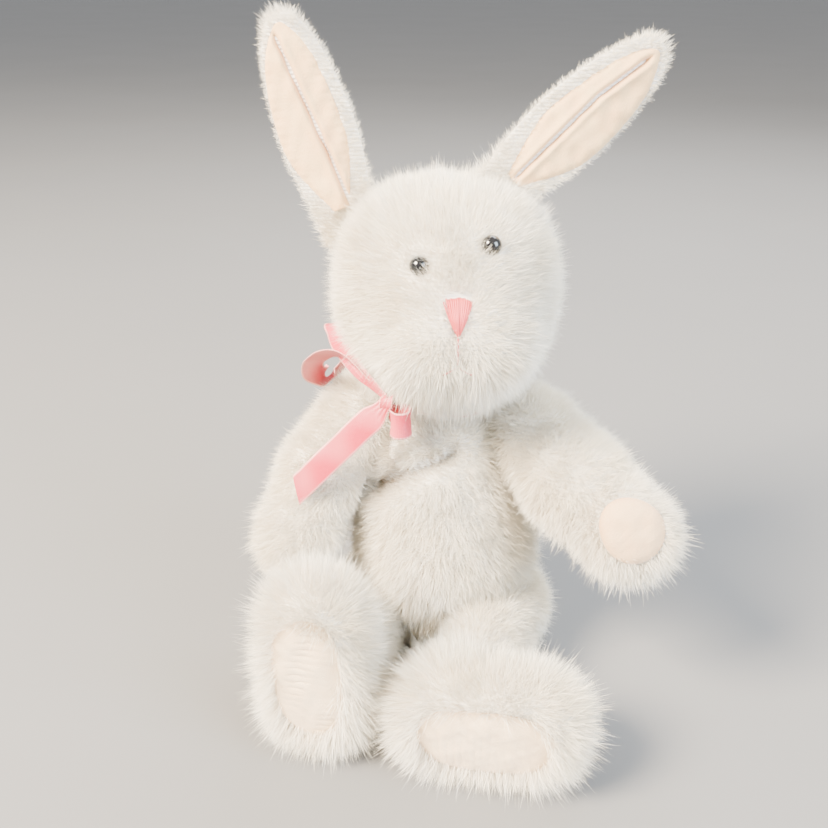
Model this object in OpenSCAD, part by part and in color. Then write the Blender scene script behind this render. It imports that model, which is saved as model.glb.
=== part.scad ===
// Jointed plush rabbit. Sewn skins are filled with loose fibre and held together
// by five disc joints: one at the neck, two at the shoulders and two at the hips.
// Millimetres. +Z is up, the belly faces -Y, and +X is the rabbit's own left.
// The origin is the centre of the flat seat under the torso.
// A skin's outer surface lies at the middle of its pile.

/* [Torso] */
// Height from the seat to the top of the neck
torso_h = 77; // [75:1:79]
// Radius of the belly at its fullest
belly_r = 25.5; // [24.5:0.5:26]
// Fullest height of the belly, as a share of the torso's height
belly_at = 0.4; // [0.36:0.02:0.42]
// Radius of the seat
seat_r = 14; // [13:0.5:16]
// Radius of the neck's flat top
neck_r = 11.5; // [11:0.5:11.5]
// Thickness of a plush skin, backing and half the pile
skin = 2; // [1.6:0.1:2.1]
// Diameter of the tail pompon
tail_d = 18; // [14:1:20]

/* [Head] */
// Radius of the head across its cheeks
head_r = 28; // [27:0.5:29]
// Height of the head's fullest level above the seat
head_z = 108; // [107.5:0.5:109]
// Rise from the fullest level to the crown
crown_h = 28; // [27:0.5:30]
// Turn of the whole head towards the rabbit's left, at rest
head_turn = 15; // [10:1:16]
// Radius of the muzzle
muzzle_r = 16.5; // [16:0.25:17]
// Diameter of an eye bead
eye_d = 5; // [4:0.25:5.5]
// Width of the embroidered nose
nose_w = 6.4; // [5:0.2:8]
// Height of the embroidered nose
nose_h = 8.6; // [7:0.2:9]

/* [Ears] */
// Length of an ear beyond the head seam
ear_len = 53; // [46:1:55]
// Width of an ear at its widest
ear_w = 22; // [18:1:23]
// Thickness of the ear's plush back
ear_back_t = 2.4; // [2:0.1:3]
// Thickness of the ear's smooth lining
lining_t = 0.8; // [0.6:0.1:1.2]
// Lean of the left ear away from upright
ear_lean_left = 49; // [44:1:52]
// Lean of the right ear away from upright
ear_lean_right = 18; // [15:1:22]

/* [Arms] */
// Radius of an arm at the shoulder
shoulder_r = 12; // [11.5:0.25:12.25]
// Radius of a paw
paw_r = 11; // [10.5:0.25:11.25]
// Length from shoulder centre to paw centre
arm_len = 39.5; // [36:0.5:40]
// Tilt of the shoulder discs, outer side up
arm_tilt = 22; // [20:1:24]
// Forward swing of the left arm from hanging, at rest
arm_swing_left = 39; // [36:1:44]
// Forward swing of the right arm from hanging, at rest
arm_swing_right = 30; // [26:1:34]
// Outward curl of the left paw from its shoulder disc
paw_curl_left = 22; // [14:1:23]
// Outward curl of the right paw from its shoulder disc
paw_curl_right = 2; // [0:1:4]

/* [Legs] */
// Radius of a leg at the hip
hip_r = 12; // [11.5:0.25:12]
// Radius of a foot at the heel
heel_r = 13; // [12.5:0.25:13]
// Radius of a foot at the toes
toe_r = 12.5; // [12:0.25:12.5]
// Length from the hip joint to the middle of the foot
leg_len = 55.5; // [53:0.5:57]
// Length from heel centre to toe centre
foot_len = 22; // [20:1:23]
// Half the torso's thickness between the hips
hip_flat = 9.6; // [9.5:0.1:10]

/* [Joint discs] */
// Radius of the limb discs
limb_disc_r = 6.8; // [6:0.1:6.8]
// Radius of the neck discs
neck_disc_r = 8.5; // [8:0.25:8.5]
// Radius of a disc's stem
stem_r = 1.9; // [1.6:0.1:2.2]
// Thickness of a disc
disc_t = 1.5; // [1.2:0.1:1.5]

/* [Ribbon] */
// Width of the satin ribbon
ribbon_w = 7; // [5:0.5:7]
// Thickness of the ribbon
ribbon_t = 0.5; // [0.4:0.1:0.6]
// Length of the hanging tail
tail_len = 34; // [28:1:36]

/* [Hidden] */
$fn = 48;
PROFILE_STEPS = 20;
FAR = 120;                  // reaches past any part of the toy
GAP = 0.4;                  // room between skins of different bodies
INNER_GAP = 0.15;           // room between a skin and its filling
STEM_CLEAR = 0.06;          // running clearance round a stem
LOCK_T = 1;
LOCK_CLEAR = 0.1;           // between a lock and its washer
STEM_PROUD = 0.8;           // length of stem past its lock
LOCK_R = 4;
CONE_FIT = 0.97;            // a limb's cones run just inside its round ends
SEAT_POWER = 2.2;
CHEST_POWER = 1.9;
CROWN_POWER = 2.6;          // above 2 squares the crown off
JAW_POWER = 2;
POST_R = 0.9;
POST_IN = 5.6;              // length of an eye's post behind its bead
EYE_WASHER_R = 2.6;
EYE_WASHER_T = 0.8;
KNOT_CLEAR = 0.05;          // between the knot and the band behind it
EYE_CLEAR = 0.1;            // room round a bead in its socket, across both sides
EYE_INNER_CLEAR = 0.4;      // the same in the filling

shoulder_flat = 38.5;       // distance of the shoulder flat from the torso's foot, along its tilt
shoulder_z = 65;
shoulder_x = (shoulder_flat - shoulder_z * sin(arm_tilt)) / cos(arm_tilt);
hip_z = hip_r + 0.3;
hip_lift = 5;               // swing kept free above a leg
tail_z = 3;                 // underside of the tail above the seat
limb_in = 8.4;              // limb's centre line from its flat, at the shoulder
leg_in = 8.6;               // the same at the hip
elbow_out = 2;              // bulge of the upper arm away from the torso
elbow_share = 0.36;         // part of the paw's outward curl that the elbow has
ankle_r = 11.5;
heel_out = [3, 11];         // heel's distance from its hip flat, left and right
toe_out = 1;                // and how much further the right toes lie
heel_floor = 0.3;           // height of the pile under a heel
toe_floor = 2.2;            // and under the left toes
sole_in = 9;                // sole plane from the foot's centre line
jaw_h = 33;                 // depth of the head's lower half, before its flat
neck_flat_z = torso_h + GAP;
muzzle_at = [0.5, -21, 105];
eye_left_at = [8.8, -24.1, 126.5];
eye_right_at = [-8.4, -25.7, 122];
eye_tilt = 28;              // an eye looks this far above level
eye_spread = 18;            // and this far outward
nose_z = 112.6;
nose_tip = 1.2;             // width of the nose's lower end
nose_thread = 0.9;          // how far its stitches stand out
mouth_z = 104.5;
mouth_h = 7;                // length of the upright stitch
mouth_thread = 0.4;
stitch_w = 0.7;
lip_run = 3;                // length of a spread stitch
lip_dip = 35;               // and its slope below level
ear_root_left = [14.5, 3, 135];
ear_root_right = [-27, 3, 127];
ear_back_tilt = 6;
ear_from = -0.14;           // an ear's ends, as shares of its length from the head seam
ear_to = 0.985;
lining_from = 0.1;          // the same for its lining
lining_to = 0.94;
lining_share = 0.74;        // lining's width against the ear's
pad_t = 1;
pad_r = 8.8;                // half the width of a sole pad
pad_step = 16;              // between the centres of its round ends
paw_pad_spread = 8.6;
paw_pad_dip = 115;          // the way a palm faces, from straight up
paw_pad_turn = 62;          // and round the forearm
band_r = 12.9;
band_z = 75.2;
band_h = 3;               // the ribbon lies folded in half round the neck
knot_at = [-12.2, -19.5, 81.6];
knot_r = 4.2;
knot_h = 5.6;
knot_w = 6.4;
upper_loop_from = [-4, 0.6, 1.4];      // where each end leaves the knot
upper_loop_turn = [0, -38, 184];       // and the way that it lies
upper_loop = [20, 2.6];                // length and half width of a loop
lower_loop_from = [1.2, -2.6, -2.8];
lower_loop_turn = [0, 76, -60];
lower_loop = [9, 2.4];
tail_from = [-3.2, -3.2, -1.8];
tail_turn = [0, 50, 192];

LEFT = 1;
RIGHT = -1;

PLUSH = [0.96, 0.94, 0.88];
VELOUR = [0.95, 0.85, 0.76];
FIBRE = [0.98, 0.98, 0.97];
PLASTIC = [0.9, 0.9, 0.86];
BEAD = [0.05, 0.05, 0.06];
THREAD = [0.93, 0.58, 0.6];
SATIN = [0.94, 0.52, 0.6];

// ---------- torso ----------

// Radius of the torso's turned outline at t, from 0 at the seat to 1 at the neck.
function torso_radius(t) =
    t < belly_at
    ? belly_r - (belly_r - seat_r) * pow((belly_at - t) / belly_at, SEAT_POWER)
    : belly_r - (belly_r - neck_r) * pow((t - belly_at) / (1 - belly_at), CHEST_POWER);

// Everything a leg sweeps beside the torso: its round end and all that lies
// below a line just above the thigh. inset moves the walls into the torso.
module hip_pocket(inset) {
    reach = hip_r + GAP + inset;
    up = [sin(hip_lift), cos(hip_lift)];
    along = [-cos(hip_lift), sin(hip_lift)];
    hip = [0, hip_z];
    translate([hip_flat - inset, 0, 0])
        rotate([90, 0, 90])
            linear_extrude(FAR)
                union() {
                    translate(hip)
                        circle(r = reach);
                    polygon([
                        hip + reach * up,
                        hip + reach * up + FAR * along,
                        [-FAR, -FAR],
                        [reach, -FAR],
                        [reach, hip_z]
                    ]);
                }
}

// The torso as one solid, with its walls moved in by inset.
module torso_solid(inset) {
    difference() {
        rotate_extrude()
            polygon(concat(
                [[0, inset]],
                [for (i = [0 : PROFILE_STEPS])
                    [torso_radius(i / PROFILE_STEPS) - inset,
                     inset + (torso_h - 2 * inset) * i / PROFILE_STEPS]],
                [[0, torso_h - inset]]
            ));
        for (side = [LEFT, RIGHT]) {
            on_side(side)
                rotate([0, -arm_tilt, 0])
                    translate([shoulder_flat - inset, -FAR / 2, -FAR / 2])
                        cube([FAR, FAR, 2 * FAR]);
            on_side(side)
                hip_pocket(inset);
        }
    }
}

module torso_skin() {
    color(PLUSH)
        difference() {
            torso_solid(0);
            torso_solid(skin);
            at_every_joint()
                stem_bore();
        }
}

module torso_filling() {
    color(FIBRE)
        difference() {
            torso_solid(skin + INNER_GAP);
            at_neck()
                washer_room(neck_disc_r);
            for (side = [LEFT, RIGHT]) {
                at_shoulder(side)
                    washer_room(limb_disc_r);
                at_hip(side)
                    washer_room(limb_disc_r);
            }
        }
}

module tail_pompon() {
    color(PLUSH)
        difference() {
            translate([0, torso_radius(0.2) + tail_d / 4, tail_d / 2 + tail_z])
                rotate([90, 0, 0])
                    sphere(d = tail_d);
            torso_solid(0);
        }
}

// ---------- placing ----------

// Mirrors a left-hand shape to the right when side is RIGHT.
module on_side(side) {
    mirror([side == RIGHT ? 1 : 0, 0, 0])
        children();
}

// A joint's own frame: the origin lies on the torso's flat, +X points into the limb.
module at_neck() {
    translate([0, 0, torso_h])
        rotate([0, -90, 0])
            children();
}

module at_shoulder(side) {
    on_side(side)
        translate([shoulder_x, 0, shoulder_z])
            rotate([0, -arm_tilt, 0])
                children();
}

module at_hip(side) {
    on_side(side)
        translate([hip_flat, 0, hip_z])
            children();
}

module at_every_joint() {
    at_neck()
        children();
    for (side = [LEFT, RIGHT]) {
        at_shoulder(side)
            children();
        at_hip(side)
            children();
    }
}

// The head's frame: the origin stays at the seat, the face looks along -Y.
module at_head() {
    rotate([0, 0, head_turn])
        children();
}

// ---------- joint discs ----------

// Cylinder along +X from x0 to x1.
module x_rod(x0, x1, r) {
    translate([x0, 0, 0])
        rotate([0, 90, 0])
            cylinder(r = r, h = x1 - x0);
}

washer_x = -skin - INNER_GAP - disc_t;
lock_x = washer_x - LOCK_CLEAR - LOCK_T;
stem_end_x = lock_x - STEM_PROUD;
stem_disc_x = GAP + skin + INNER_GAP;
eye_washer_x = -POST_IN + 0.4;

module stem_bore() {
    x_rod(stem_end_x, stem_disc_x, stem_r + STEM_CLEAR);
}

// Room in the torso's filling for a washer, its lock and the stem's end.
module washer_room(r) {
    x_rod(washer_x - INNER_GAP, 1, r + INNER_GAP);
    x_rod(stem_end_x - INNER_GAP, washer_x, LOCK_R + INNER_GAP);
}

// Disc and stem, moulded in one; the disc lies inside the limb.
module stem_disc(r) {
    color(PLASTIC)
        union() {
            x_rod(stem_disc_x, stem_disc_x + disc_t, r);
            x_rod(stem_end_x, stem_disc_x + disc_t / 2, stem_r);
        }
}

module washer(r) {
    color(PLASTIC)
        difference() {
            x_rod(washer_x, washer_x + disc_t, r);
            x_rod(washer_x - 1, 0, stem_r + STEM_CLEAR);
        }
}

// Push-on lock that grips the stem's end.
module lock() {
    color(PLASTIC)
        difference() {
            x_rod(lock_x, lock_x + LOCK_T, LOCK_R);
            x_rod(lock_x - 1, 0, stem_r);
        }
}

// ---------- head ----------

function superellipse(share, power) = pow(1 - pow(share, power), 1 / power);

// The head's turned outline: a squarish crown over a rounder jaw, cut flat at the neck.
module head_outline(inset) {
    low = neck_flat_z + inset;
    top = head_z + crown_h - inset;
    jaw = jaw_h - inset;
    r = head_r - inset;
    first = acos((head_z - low) / jaw);
    polygon(concat(
        [[0, low]],
        [for (i = [0 : PROFILE_STEPS])
            let (a = first + (90 - first) * i / PROFILE_STEPS)
            [r * superellipse(cos(a), JAW_POWER), head_z - jaw * cos(a)]],
        [for (i = [1 : PROFILE_STEPS - 1])
            let (share = sin(90 * i / PROFILE_STEPS))
            [r * superellipse(share, CROWN_POWER), head_z + (top - head_z) * share]],
        [[0, top]]
    ));
}

module head_solid(inset) {
    rotate_extrude()
        head_outline(inset);
    translate(muzzle_at)
        sphere(r = muzzle_r - inset);
}

// An eye's own frame: the origin at the bead's centre, +X out of the face.
module at_eye(side) {
    spot = side == LEFT ? eye_left_at : eye_right_at;
    at_head()
        translate(spot)
            rotate([0, -eye_tilt, -90 + eye_spread * side])
                children();
}

module head_skin() {
    color(PLUSH)
        difference() {
            at_head()
                head_solid(0);
            at_head()
                head_solid(skin);
            at_neck()
                stem_bore();
            for (side = [LEFT, RIGHT]) {
                at_eye(side)
                    sphere(d = eye_d + EYE_CLEAR);
                at_eye(side)
                    x_rod(-POST_IN, 0, POST_R + STEM_CLEAR);
            }
        }
}

module head_filling() {
    color(FIBRE)
        difference() {
            at_head()
                head_solid(skin + INNER_GAP);
            at_neck()
                x_rod(0, stem_disc_x + disc_t + INNER_GAP, neck_disc_r + INNER_GAP);
            for (side = [LEFT, RIGHT]) {
                at_eye(side)
                    x_rod(-POST_IN - INNER_GAP, 0, EYE_WASHER_R + INNER_GAP);
                at_eye(side)
                    sphere(d = eye_d + EYE_INNER_CLEAR);
            }
        }
}

// Bead with a moulded post that passes through the face.
module eye(side) {
    color(BEAD)
        at_eye(side)
            union() {
                sphere(d = eye_d);
                x_rod(-POST_IN, 0, POST_R);
            }
}

module eye_washer(side) {
    color(PLASTIC)
        at_eye(side)
            difference() {
                x_rod(eye_washer_x, eye_washer_x + EYE_WASHER_T, EYE_WASHER_R);
                x_rod(-POST_IN, 0, POST_R);
            }
}

// Shape standing on the muzzle's surface, as deep as its thread.
module on_muzzle(thread) {
    at_head()
        difference() {
            intersection() {
                translate(muzzle_at)
                    sphere(r = muzzle_r + thread);
                children();
            }
            head_solid(0);
        }
}

// Upside-down triangle of satin stitches.
module nose_stitching() {
    color(THREAD)
        on_muzzle(nose_thread)
            translate([muzzle_at.x, 0, nose_z])
                rotate([90, 0, 0])
                    linear_extrude(FAR)
                        polygon([
                            [-nose_w / 2, nose_h / 2],
                            [nose_w / 2, nose_h / 2],
                            [nose_tip / 2, -nose_h / 2],
                            [-nose_tip / 2, -nose_h / 2]
                        ]);
}

// A straight stitch below the nose and two short ones that spread from it.
module mouth_stitching() {
    color(THREAD)
        on_muzzle(mouth_thread)
            translate([muzzle_at.x, -FAR / 2, mouth_z])
                union() {
                    translate([-stitch_w / 2, 0, -mouth_h / 2])
                        cube([stitch_w, FAR / 2, mouth_h]);
                    for (side = [LEFT, RIGHT])
                        translate([0, 0, -mouth_h / 2])
                            on_side(side)
                                rotate([0, lip_dip, 0])
                                    translate([0, 0, -stitch_w / 2])
                                        cube([lip_run, FAR / 2, stitch_w]);
                }
}

// ---------- ears ----------

// Half the ear's width at t, from 0 at the root to 1 at the tip.
function ear_half(t) = ear_w / 2 * pow(sin(180 * pow(0.25 + 0.75 * t, 0.9)), 0.62);

// Leaf outline of an ear, its width scaled by share, from its length t0 to t1.
module ear_outline(share, t0, t1) {
    spots = [for (i = [0 : PROFILE_STEPS]) t0 + (t1 - t0) * i / PROFILE_STEPS];
    polygon(concat(
        [for (t = spots) [share * ear_half(t), ear_len * t]],
        [for (i = [PROFILE_STEPS - 1 : -1 : 0]) [-share * ear_half(spots[i]), ear_len * spots[i]]]
    ));
}

// An ear's own frame: root at the origin, length along +Z, lining towards -Y.
module at_ear(side) {
    at_head()
        translate(side == LEFT ? ear_root_left : ear_root_right)
            rotate([0, side == LEFT ? ear_lean_left : -ear_lean_right, 0])
                rotate([-ear_back_tilt, 0, 0])
                    children();
}

// Flat blade of the outline between y0 and y1.
module ear_blade(share, t0, t1, y0, y1) {
    translate([0, y1, 0])
        rotate([90, 0, 0])
            linear_extrude(y1 - y0)
                ear_outline(share, t0, t1);
}

module ear(side) {
    color(PLUSH)
        difference() {
            at_ear(side)
                ear_blade(1, ear_from, ear_to, 0, ear_back_t);
            at_head()
                head_solid(0);
        }
}

module ear_lining(side) {
    color(VELOUR)
        difference() {
            at_ear(side)
                ear_blade(lining_share, lining_from, lining_to, -lining_t, 0);
            at_head()
                head_solid(0);
        }
}

// ---------- limbs ----------

// Round-ended cone from p to q. The cone runs just inside both round ends.
module round_cone(p, q, rp, rq) {
    d = q - p;
    translate(p)
        rotate([0, acos(d.z / norm(d)), atan2(d.y, d.x)])
            cylinder(r1 = CONE_FIT * rp, r2 = CONE_FIT * rq, h = norm(d));
}

// A limb's chain of round joints with cones between them, walls moved in by inset.
// turn sets which way the round joints' poles point, which is the way they are cut.
module limb_chain(points, radii, inset, turn = [0, 0, 0]) {
    for (i = [0 : len(points) - 1])
        translate(points[i])
            rotate(turn)
                sphere(r = radii[i] - inset);
    for (i = [0 : len(points) - 2])
        round_cone(points[i], points[i + 1], radii[i] - inset, radii[i + 1] - inset);
}

// Removes what lies nearer the torso than x.
module cut_inner_side(x) {
    difference() {
        children();
        translate([x - FAR, -FAR, -FAR])
            cube([FAR, 2 * FAR, 2 * FAR]);
    }
}

// ---------- arms ----------

function paw_curl(side) = side == LEFT ? paw_curl_left : paw_curl_right;
function arm_swing(side) = side == LEFT ? arm_swing_left : arm_swing_right;
function paw_drop(side) = sqrt(arm_len * arm_len - paw_curl(side) * paw_curl(side));
function arm_points(side) = [
    [GAP + limb_in, 0, 0],
    [GAP + limb_in + elbow_out + elbow_share * paw_curl(side), 0, -0.5 * paw_drop(side)],
    [GAP + limb_in + paw_curl(side), 0, -paw_drop(side)]
];
arm_radii = [shoulder_r, shoulder_r, paw_r];

module at_arm(side) {
    at_shoulder(side)
        rotate([-arm_swing(side), 0, 0])
            children();
}

module arm_solid(side, inset) {
    cut_inner_side(GAP + inset)
        limb_chain(arm_points(side), arm_radii, inset);
}

module arm_skin(side) {
    color(PLUSH)
        at_arm(side)
            difference() {
                arm_solid(side, 0);
                arm_solid(side, skin);
                stem_bore();
            }
}

module arm_filling(side) {
    color(FIBRE)
        at_arm(side)
            difference() {
                arm_solid(side, skin + INNER_GAP);
                disc_room();
            }
}

// Room in a limb's filling for its disc.
module disc_room() {
    x_rod(0, stem_disc_x + disc_t + INNER_GAP, limb_disc_r + INNER_GAP);
}

// Round patch of velour on the palm: the left palm looks forward, the right one back.
module paw_pad(side) {
    color(VELOUR)
        at_arm(side)
            difference() {
                translate(arm_points(side)[2])
                    rotate([0, paw_pad_dip, -side * paw_pad_turn])
                        difference() {
                            intersection() {
                                sphere(r = paw_r + pad_t);
                                cylinder(r = paw_pad_spread, h = FAR);
                            }
                            sphere(r = paw_r);
                        }
                round_cone(arm_points(side)[1], arm_points(side)[2], arm_radii[1], arm_radii[2]);
            }
}

// ---------- legs ----------

// The right foot stands with its toes up, the left one lies with its toes outward.
heel_z = heel_r + heel_floor - hip_z;
function foot_points(side) = side == LEFT
    ? [[heel_out[0], -leg_len, heel_z],
       [heel_out[0] + foot_len, -leg_len, heel_r + toe_floor - hip_z]]
    : [[heel_out[1], -leg_len, heel_z],
       [heel_out[1] + toe_out, -leg_len, heel_z + foot_len]];
leg_top = [GAP + leg_in, 0, 0];

module leg_solid(side, inset) {
    sole_y = -leg_len - sole_in + inset;
    difference() {
        union() {
            cut_inner_side(GAP + inset) {
                translate(leg_top)
                    rotate([0, 90, 0])
                        sphere(r = hip_r - inset);
                round_cone(leg_top, foot_points(side)[0], hip_r - inset, ankle_r - inset);
            }
            limb_chain(foot_points(side), [heel_r, toe_r], inset, [90, 0, 0]);
        }
        translate([-FAR, sole_y - FAR, -FAR])
            cube([2 * FAR, FAR, 2 * FAR]);
    }
}

module leg_skin(side) {
    color(PLUSH)
        at_hip(side)
            difference() {
                leg_solid(side, 0);
                leg_solid(side, skin);
                stem_bore();
            }
}

module leg_filling(side) {
    color(FIBRE)
        at_hip(side)
            difference() {
                leg_solid(side, skin + INNER_GAP);
                disc_room();
            }
}

// Outline with round ends of radius r whose centres are step apart along X.
module long_oval(step, r) {
    polygon([for (i = [0 : 2 * PROFILE_STEPS + 1])
        let (right = i <= PROFILE_STEPS, a = 180 * (right ? i : i - 1) / PROFILE_STEPS - 90)
        [(right ? step : -step) / 2 + r * cos(a), r * sin(a)]]);
}

// Long oval of velour that closes the foot.
module sole_pad(side) {
    heel = foot_points(side)[0];
    toe = foot_points(side)[1];
    run = (toe - heel) / norm(toe - heel);
    middle = (heel + toe) / 2;
    color(VELOUR)
        at_hip(side)
            translate([0, -leg_len - sole_in, 0])
                rotate([90, 0, 0])
                    linear_extrude(pad_t)
                        translate([middle.x, middle.z])
                            rotate(atan2(run.z, run.x))
                                long_oval(pad_step, pad_r);
}

// ---------- ribbon ----------

module neck_band() {
    color(SATIN)
        translate([0, 0, band_z])
            difference() {
                cylinder(r = band_r + ribbon_t, h = band_h);
                translate([0, 0, -1])
                    cylinder(r = band_r, h = band_h + 2);
            }
}

// The knot's frame: +X leads from the neck outward through the knot.
module at_knot() {
    translate(knot_at)
        rotate([0, 0, atan2(knot_at.y, knot_at.x)])
            children();
}

module bow_knot() {
    color(SATIN)
        at_knot()
            difference() {
                intersection() {
                    sphere(r = knot_r);
                    cube([2 * knot_r, knot_w, knot_h], center = true);
                }
                translate([-norm([knot_at.x, knot_at.y]), 0, -FAR])
                    cylinder(r = band_r + ribbon_t + KNOT_CLEAR, h = 2 * FAR);
            }
}

// Flat strip of ribbon in the XZ plane, from the origin along +X.
module strip(length) {
    translate([0, -ribbon_t / 2, -ribbon_w / 2])
        cube([length, ribbon_t, ribbon_w]);
}

// Closed teardrop loop of ribbon, its point at the origin and its length along +X.
module ribbon_loop(length, half) {
    translate([0, 0, -ribbon_w / 2])
        linear_extrude(ribbon_w)
            difference() {
                loop_outline(length, half);
                translate([ribbon_t, 0])
                    loop_outline(length - 2 * ribbon_t, half - ribbon_t);
            }
}

module loop_outline(length, half) {
    polygon([for (i = [0 : 2 * PROFILE_STEPS - 1])
        let (a = 180 * i / PROFILE_STEPS)
        [length * (1 - cos(a)) / 2, half * sin(a) * sin(a / 2)]]);
}

module bow_loop_upper() {
    color(SATIN)
        translate(knot_at + upper_loop_from)
            rotate(upper_loop_turn)
                ribbon_loop(upper_loop[0], upper_loop[1]);
}

module bow_loop_lower() {
    color(SATIN)
        translate(knot_at + lower_loop_from)
            rotate(lower_loop_turn)
                ribbon_loop(lower_loop[0], lower_loop[1]);
}

module bow_tail() {
    color(SATIN)
        translate(knot_at + tail_from)
            rotate(tail_turn)
                strip(tail_len);
}

// ---------- the assembly ----------

torso_skin();
torso_filling();
tail_pompon();
head_skin();
head_filling();
ear(LEFT);  // ear_left
ear(RIGHT);  // ear_right
ear_lining(LEFT);  // ear_lining_left
ear_lining(RIGHT);  // ear_lining_right
eye(LEFT);  // eye_left
eye(RIGHT);  // eye_right
eye_washer(LEFT);  // eye_washer_left
eye_washer(RIGHT);  // eye_washer_right
nose_stitching();
mouth_stitching();
arm_skin(LEFT);  // arm_skin_left
arm_skin(RIGHT);  // arm_skin_right
arm_filling(LEFT);  // arm_filling_left
arm_filling(RIGHT);  // arm_filling_right
paw_pad(LEFT);  // paw_pad_left
paw_pad(RIGHT);  // paw_pad_right
leg_skin(LEFT);  // leg_skin_left
leg_skin(RIGHT);  // leg_skin_right
leg_filling(LEFT);  // leg_filling_left
leg_filling(RIGHT);  // leg_filling_right
sole_pad(LEFT);  // sole_pad_left
sole_pad(RIGHT);  // sole_pad_right
at_neck() stem_disc(neck_disc_r);  // neck_stem_disc
at_neck() washer(neck_disc_r);  // neck_washer
at_neck() lock();  // neck_lock
at_shoulder(LEFT) stem_disc(limb_disc_r);  // shoulder_stem_disc_left
at_shoulder(LEFT) washer(limb_disc_r);  // shoulder_washer_left
at_shoulder(LEFT) lock();  // shoulder_lock_left
at_shoulder(RIGHT) stem_disc(limb_disc_r);  // shoulder_stem_disc_right
at_shoulder(RIGHT) washer(limb_disc_r);  // shoulder_washer_right
at_shoulder(RIGHT) lock();  // shoulder_lock_right
at_hip(LEFT) stem_disc(limb_disc_r);  // hip_stem_disc_left
at_hip(LEFT) washer(limb_disc_r);  // hip_washer_left
at_hip(LEFT) lock();  // hip_lock_left
at_hip(RIGHT) stem_disc(limb_disc_r);  // hip_stem_disc_right
at_hip(RIGHT) washer(limb_disc_r);  // hip_washer_right
at_hip(RIGHT) lock();  // hip_lock_right
neck_band();
bow_knot();
bow_loop_upper();
bow_loop_lower();
bow_tail();
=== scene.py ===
"""A jointed plush rabbit, sitting: sewn skins with a standing pile, velour linings and pads,
bead eyes, an embroidered nose and a satin bow.

Shapes are worked out in millimetres and put into meshes in metres. A skin is a surface of two
parameters: a spine, a fan of rays round it, and where each ray leaves a soft field. The pile is
made of thin tapered strands that stand on the skins.
"""

import math

import bpy
import numpy as np
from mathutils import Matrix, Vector


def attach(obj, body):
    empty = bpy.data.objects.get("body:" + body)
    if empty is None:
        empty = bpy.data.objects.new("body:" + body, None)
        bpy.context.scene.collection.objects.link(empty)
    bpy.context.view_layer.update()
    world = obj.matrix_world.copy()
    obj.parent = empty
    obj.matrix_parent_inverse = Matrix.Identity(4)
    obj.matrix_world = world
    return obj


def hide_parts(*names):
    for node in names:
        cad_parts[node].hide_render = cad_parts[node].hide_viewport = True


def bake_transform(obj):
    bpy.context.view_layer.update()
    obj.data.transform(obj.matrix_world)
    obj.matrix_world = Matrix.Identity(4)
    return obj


MM = 0.001
LEFT = 1
RIGHT = -1
SIDES = {LEFT: "left", RIGHT: "right"}
TAU = 2 * math.pi

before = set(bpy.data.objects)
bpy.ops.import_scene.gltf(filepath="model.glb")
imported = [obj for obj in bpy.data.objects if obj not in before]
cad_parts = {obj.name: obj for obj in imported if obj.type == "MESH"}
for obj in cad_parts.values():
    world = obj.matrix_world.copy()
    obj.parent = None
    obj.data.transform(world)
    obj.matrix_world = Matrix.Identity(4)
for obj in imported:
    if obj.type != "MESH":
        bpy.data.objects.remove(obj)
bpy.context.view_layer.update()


# ---------- placing ----------


def spin(axis, degrees):
    """Turning matrix about the x, y or z axis, by the right hand."""
    a = math.radians(degrees)
    i, j = {"x": (1, 2), "y": (2, 0), "z": (0, 1)}[axis]
    m = np.eye(3)
    m[i, i] = m[j, j] = math.cos(a)
    m[j, i] = math.sin(a)
    m[i, j] = -math.sin(a)
    return m


class Place:
    """A turn, then a shift: a piece's own frame in the toy's frame."""

    def __init__(self, turn=None, shift=(0, 0, 0)):
        self.turn = np.eye(3) if turn is None else np.asarray(turn, float)
        self.shift = np.asarray(shift, float)

    def __matmul__(self, inner):
        """The inner frame's place in the frame that this one is in."""
        return Place(self.turn @ inner.turn, self.turn @ inner.shift + self.shift)

    def points(self, p):
        """Points of this frame, turned and shifted into the toy's."""
        return np.asarray(p, float) @ self.turn.T + self.shift

    def local(self, p):
        """Points of the toy's frame, in this one."""
        return (np.asarray(p, float) - self.shift) @ self.turn


def mirror_x(side):
    """Mirrors a left-hand frame to the right."""
    return Place(np.diag([side, 1, 1]))


# Sizes that follow the part's own, in millimetres.
TORSO_H = 77
BELLY_R, BELLY_AT, SEAT_R, NECK_R = 25.5, 0.4, 14, 11.5
SHOULDER_FLAT, SHOULDER_Z, ARM_TILT = 38.5, 65, 22
SHOULDER_X = (SHOULDER_FLAT - SHOULDER_Z * math.sin(math.radians(ARM_TILT))) / math.cos(
    math.radians(ARM_TILT)
)
HIP_FLAT, HIP_Z, HIP_R = 9.6, 12.3, 12
HEAD_TURN = 15
ARM_SWING = {LEFT: 39, RIGHT: 30}
PAW_CURL = {LEFT: 22, RIGHT: 2}
ARM_LEN = 39.5
LEG_LEN, SOLE_IN = 55.5, 9
EAR_LEN, EAR_W = 53, 22
EAR_LEAN = {LEFT: 49, RIGHT: -18}
EAR_ROOT = {LEFT: (14.5, 3, 135), RIGHT: (-27, 3, 127)}

TORSO = Place()
HEAD = Place(spin("z", HEAD_TURN))
ARM = {
    s: mirror_x(s)
    @ Place(spin("y", -ARM_TILT), (SHOULDER_X, 0, SHOULDER_Z))
    @ Place(spin("x", -ARM_SWING[s]))
    for s in SIDES
}
LEG = {s: mirror_x(s) @ Place(None, (HIP_FLAT, 0, HIP_Z)) for s in SIDES}
EAR = {
    s: HEAD @ Place(spin("y", EAR_LEAN[s]), EAR_ROOT[s]) @ Place(spin("x", -6))
    for s in SIDES
}


# ---------- soft fields: below zero inside, above zero outside ----------


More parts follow.
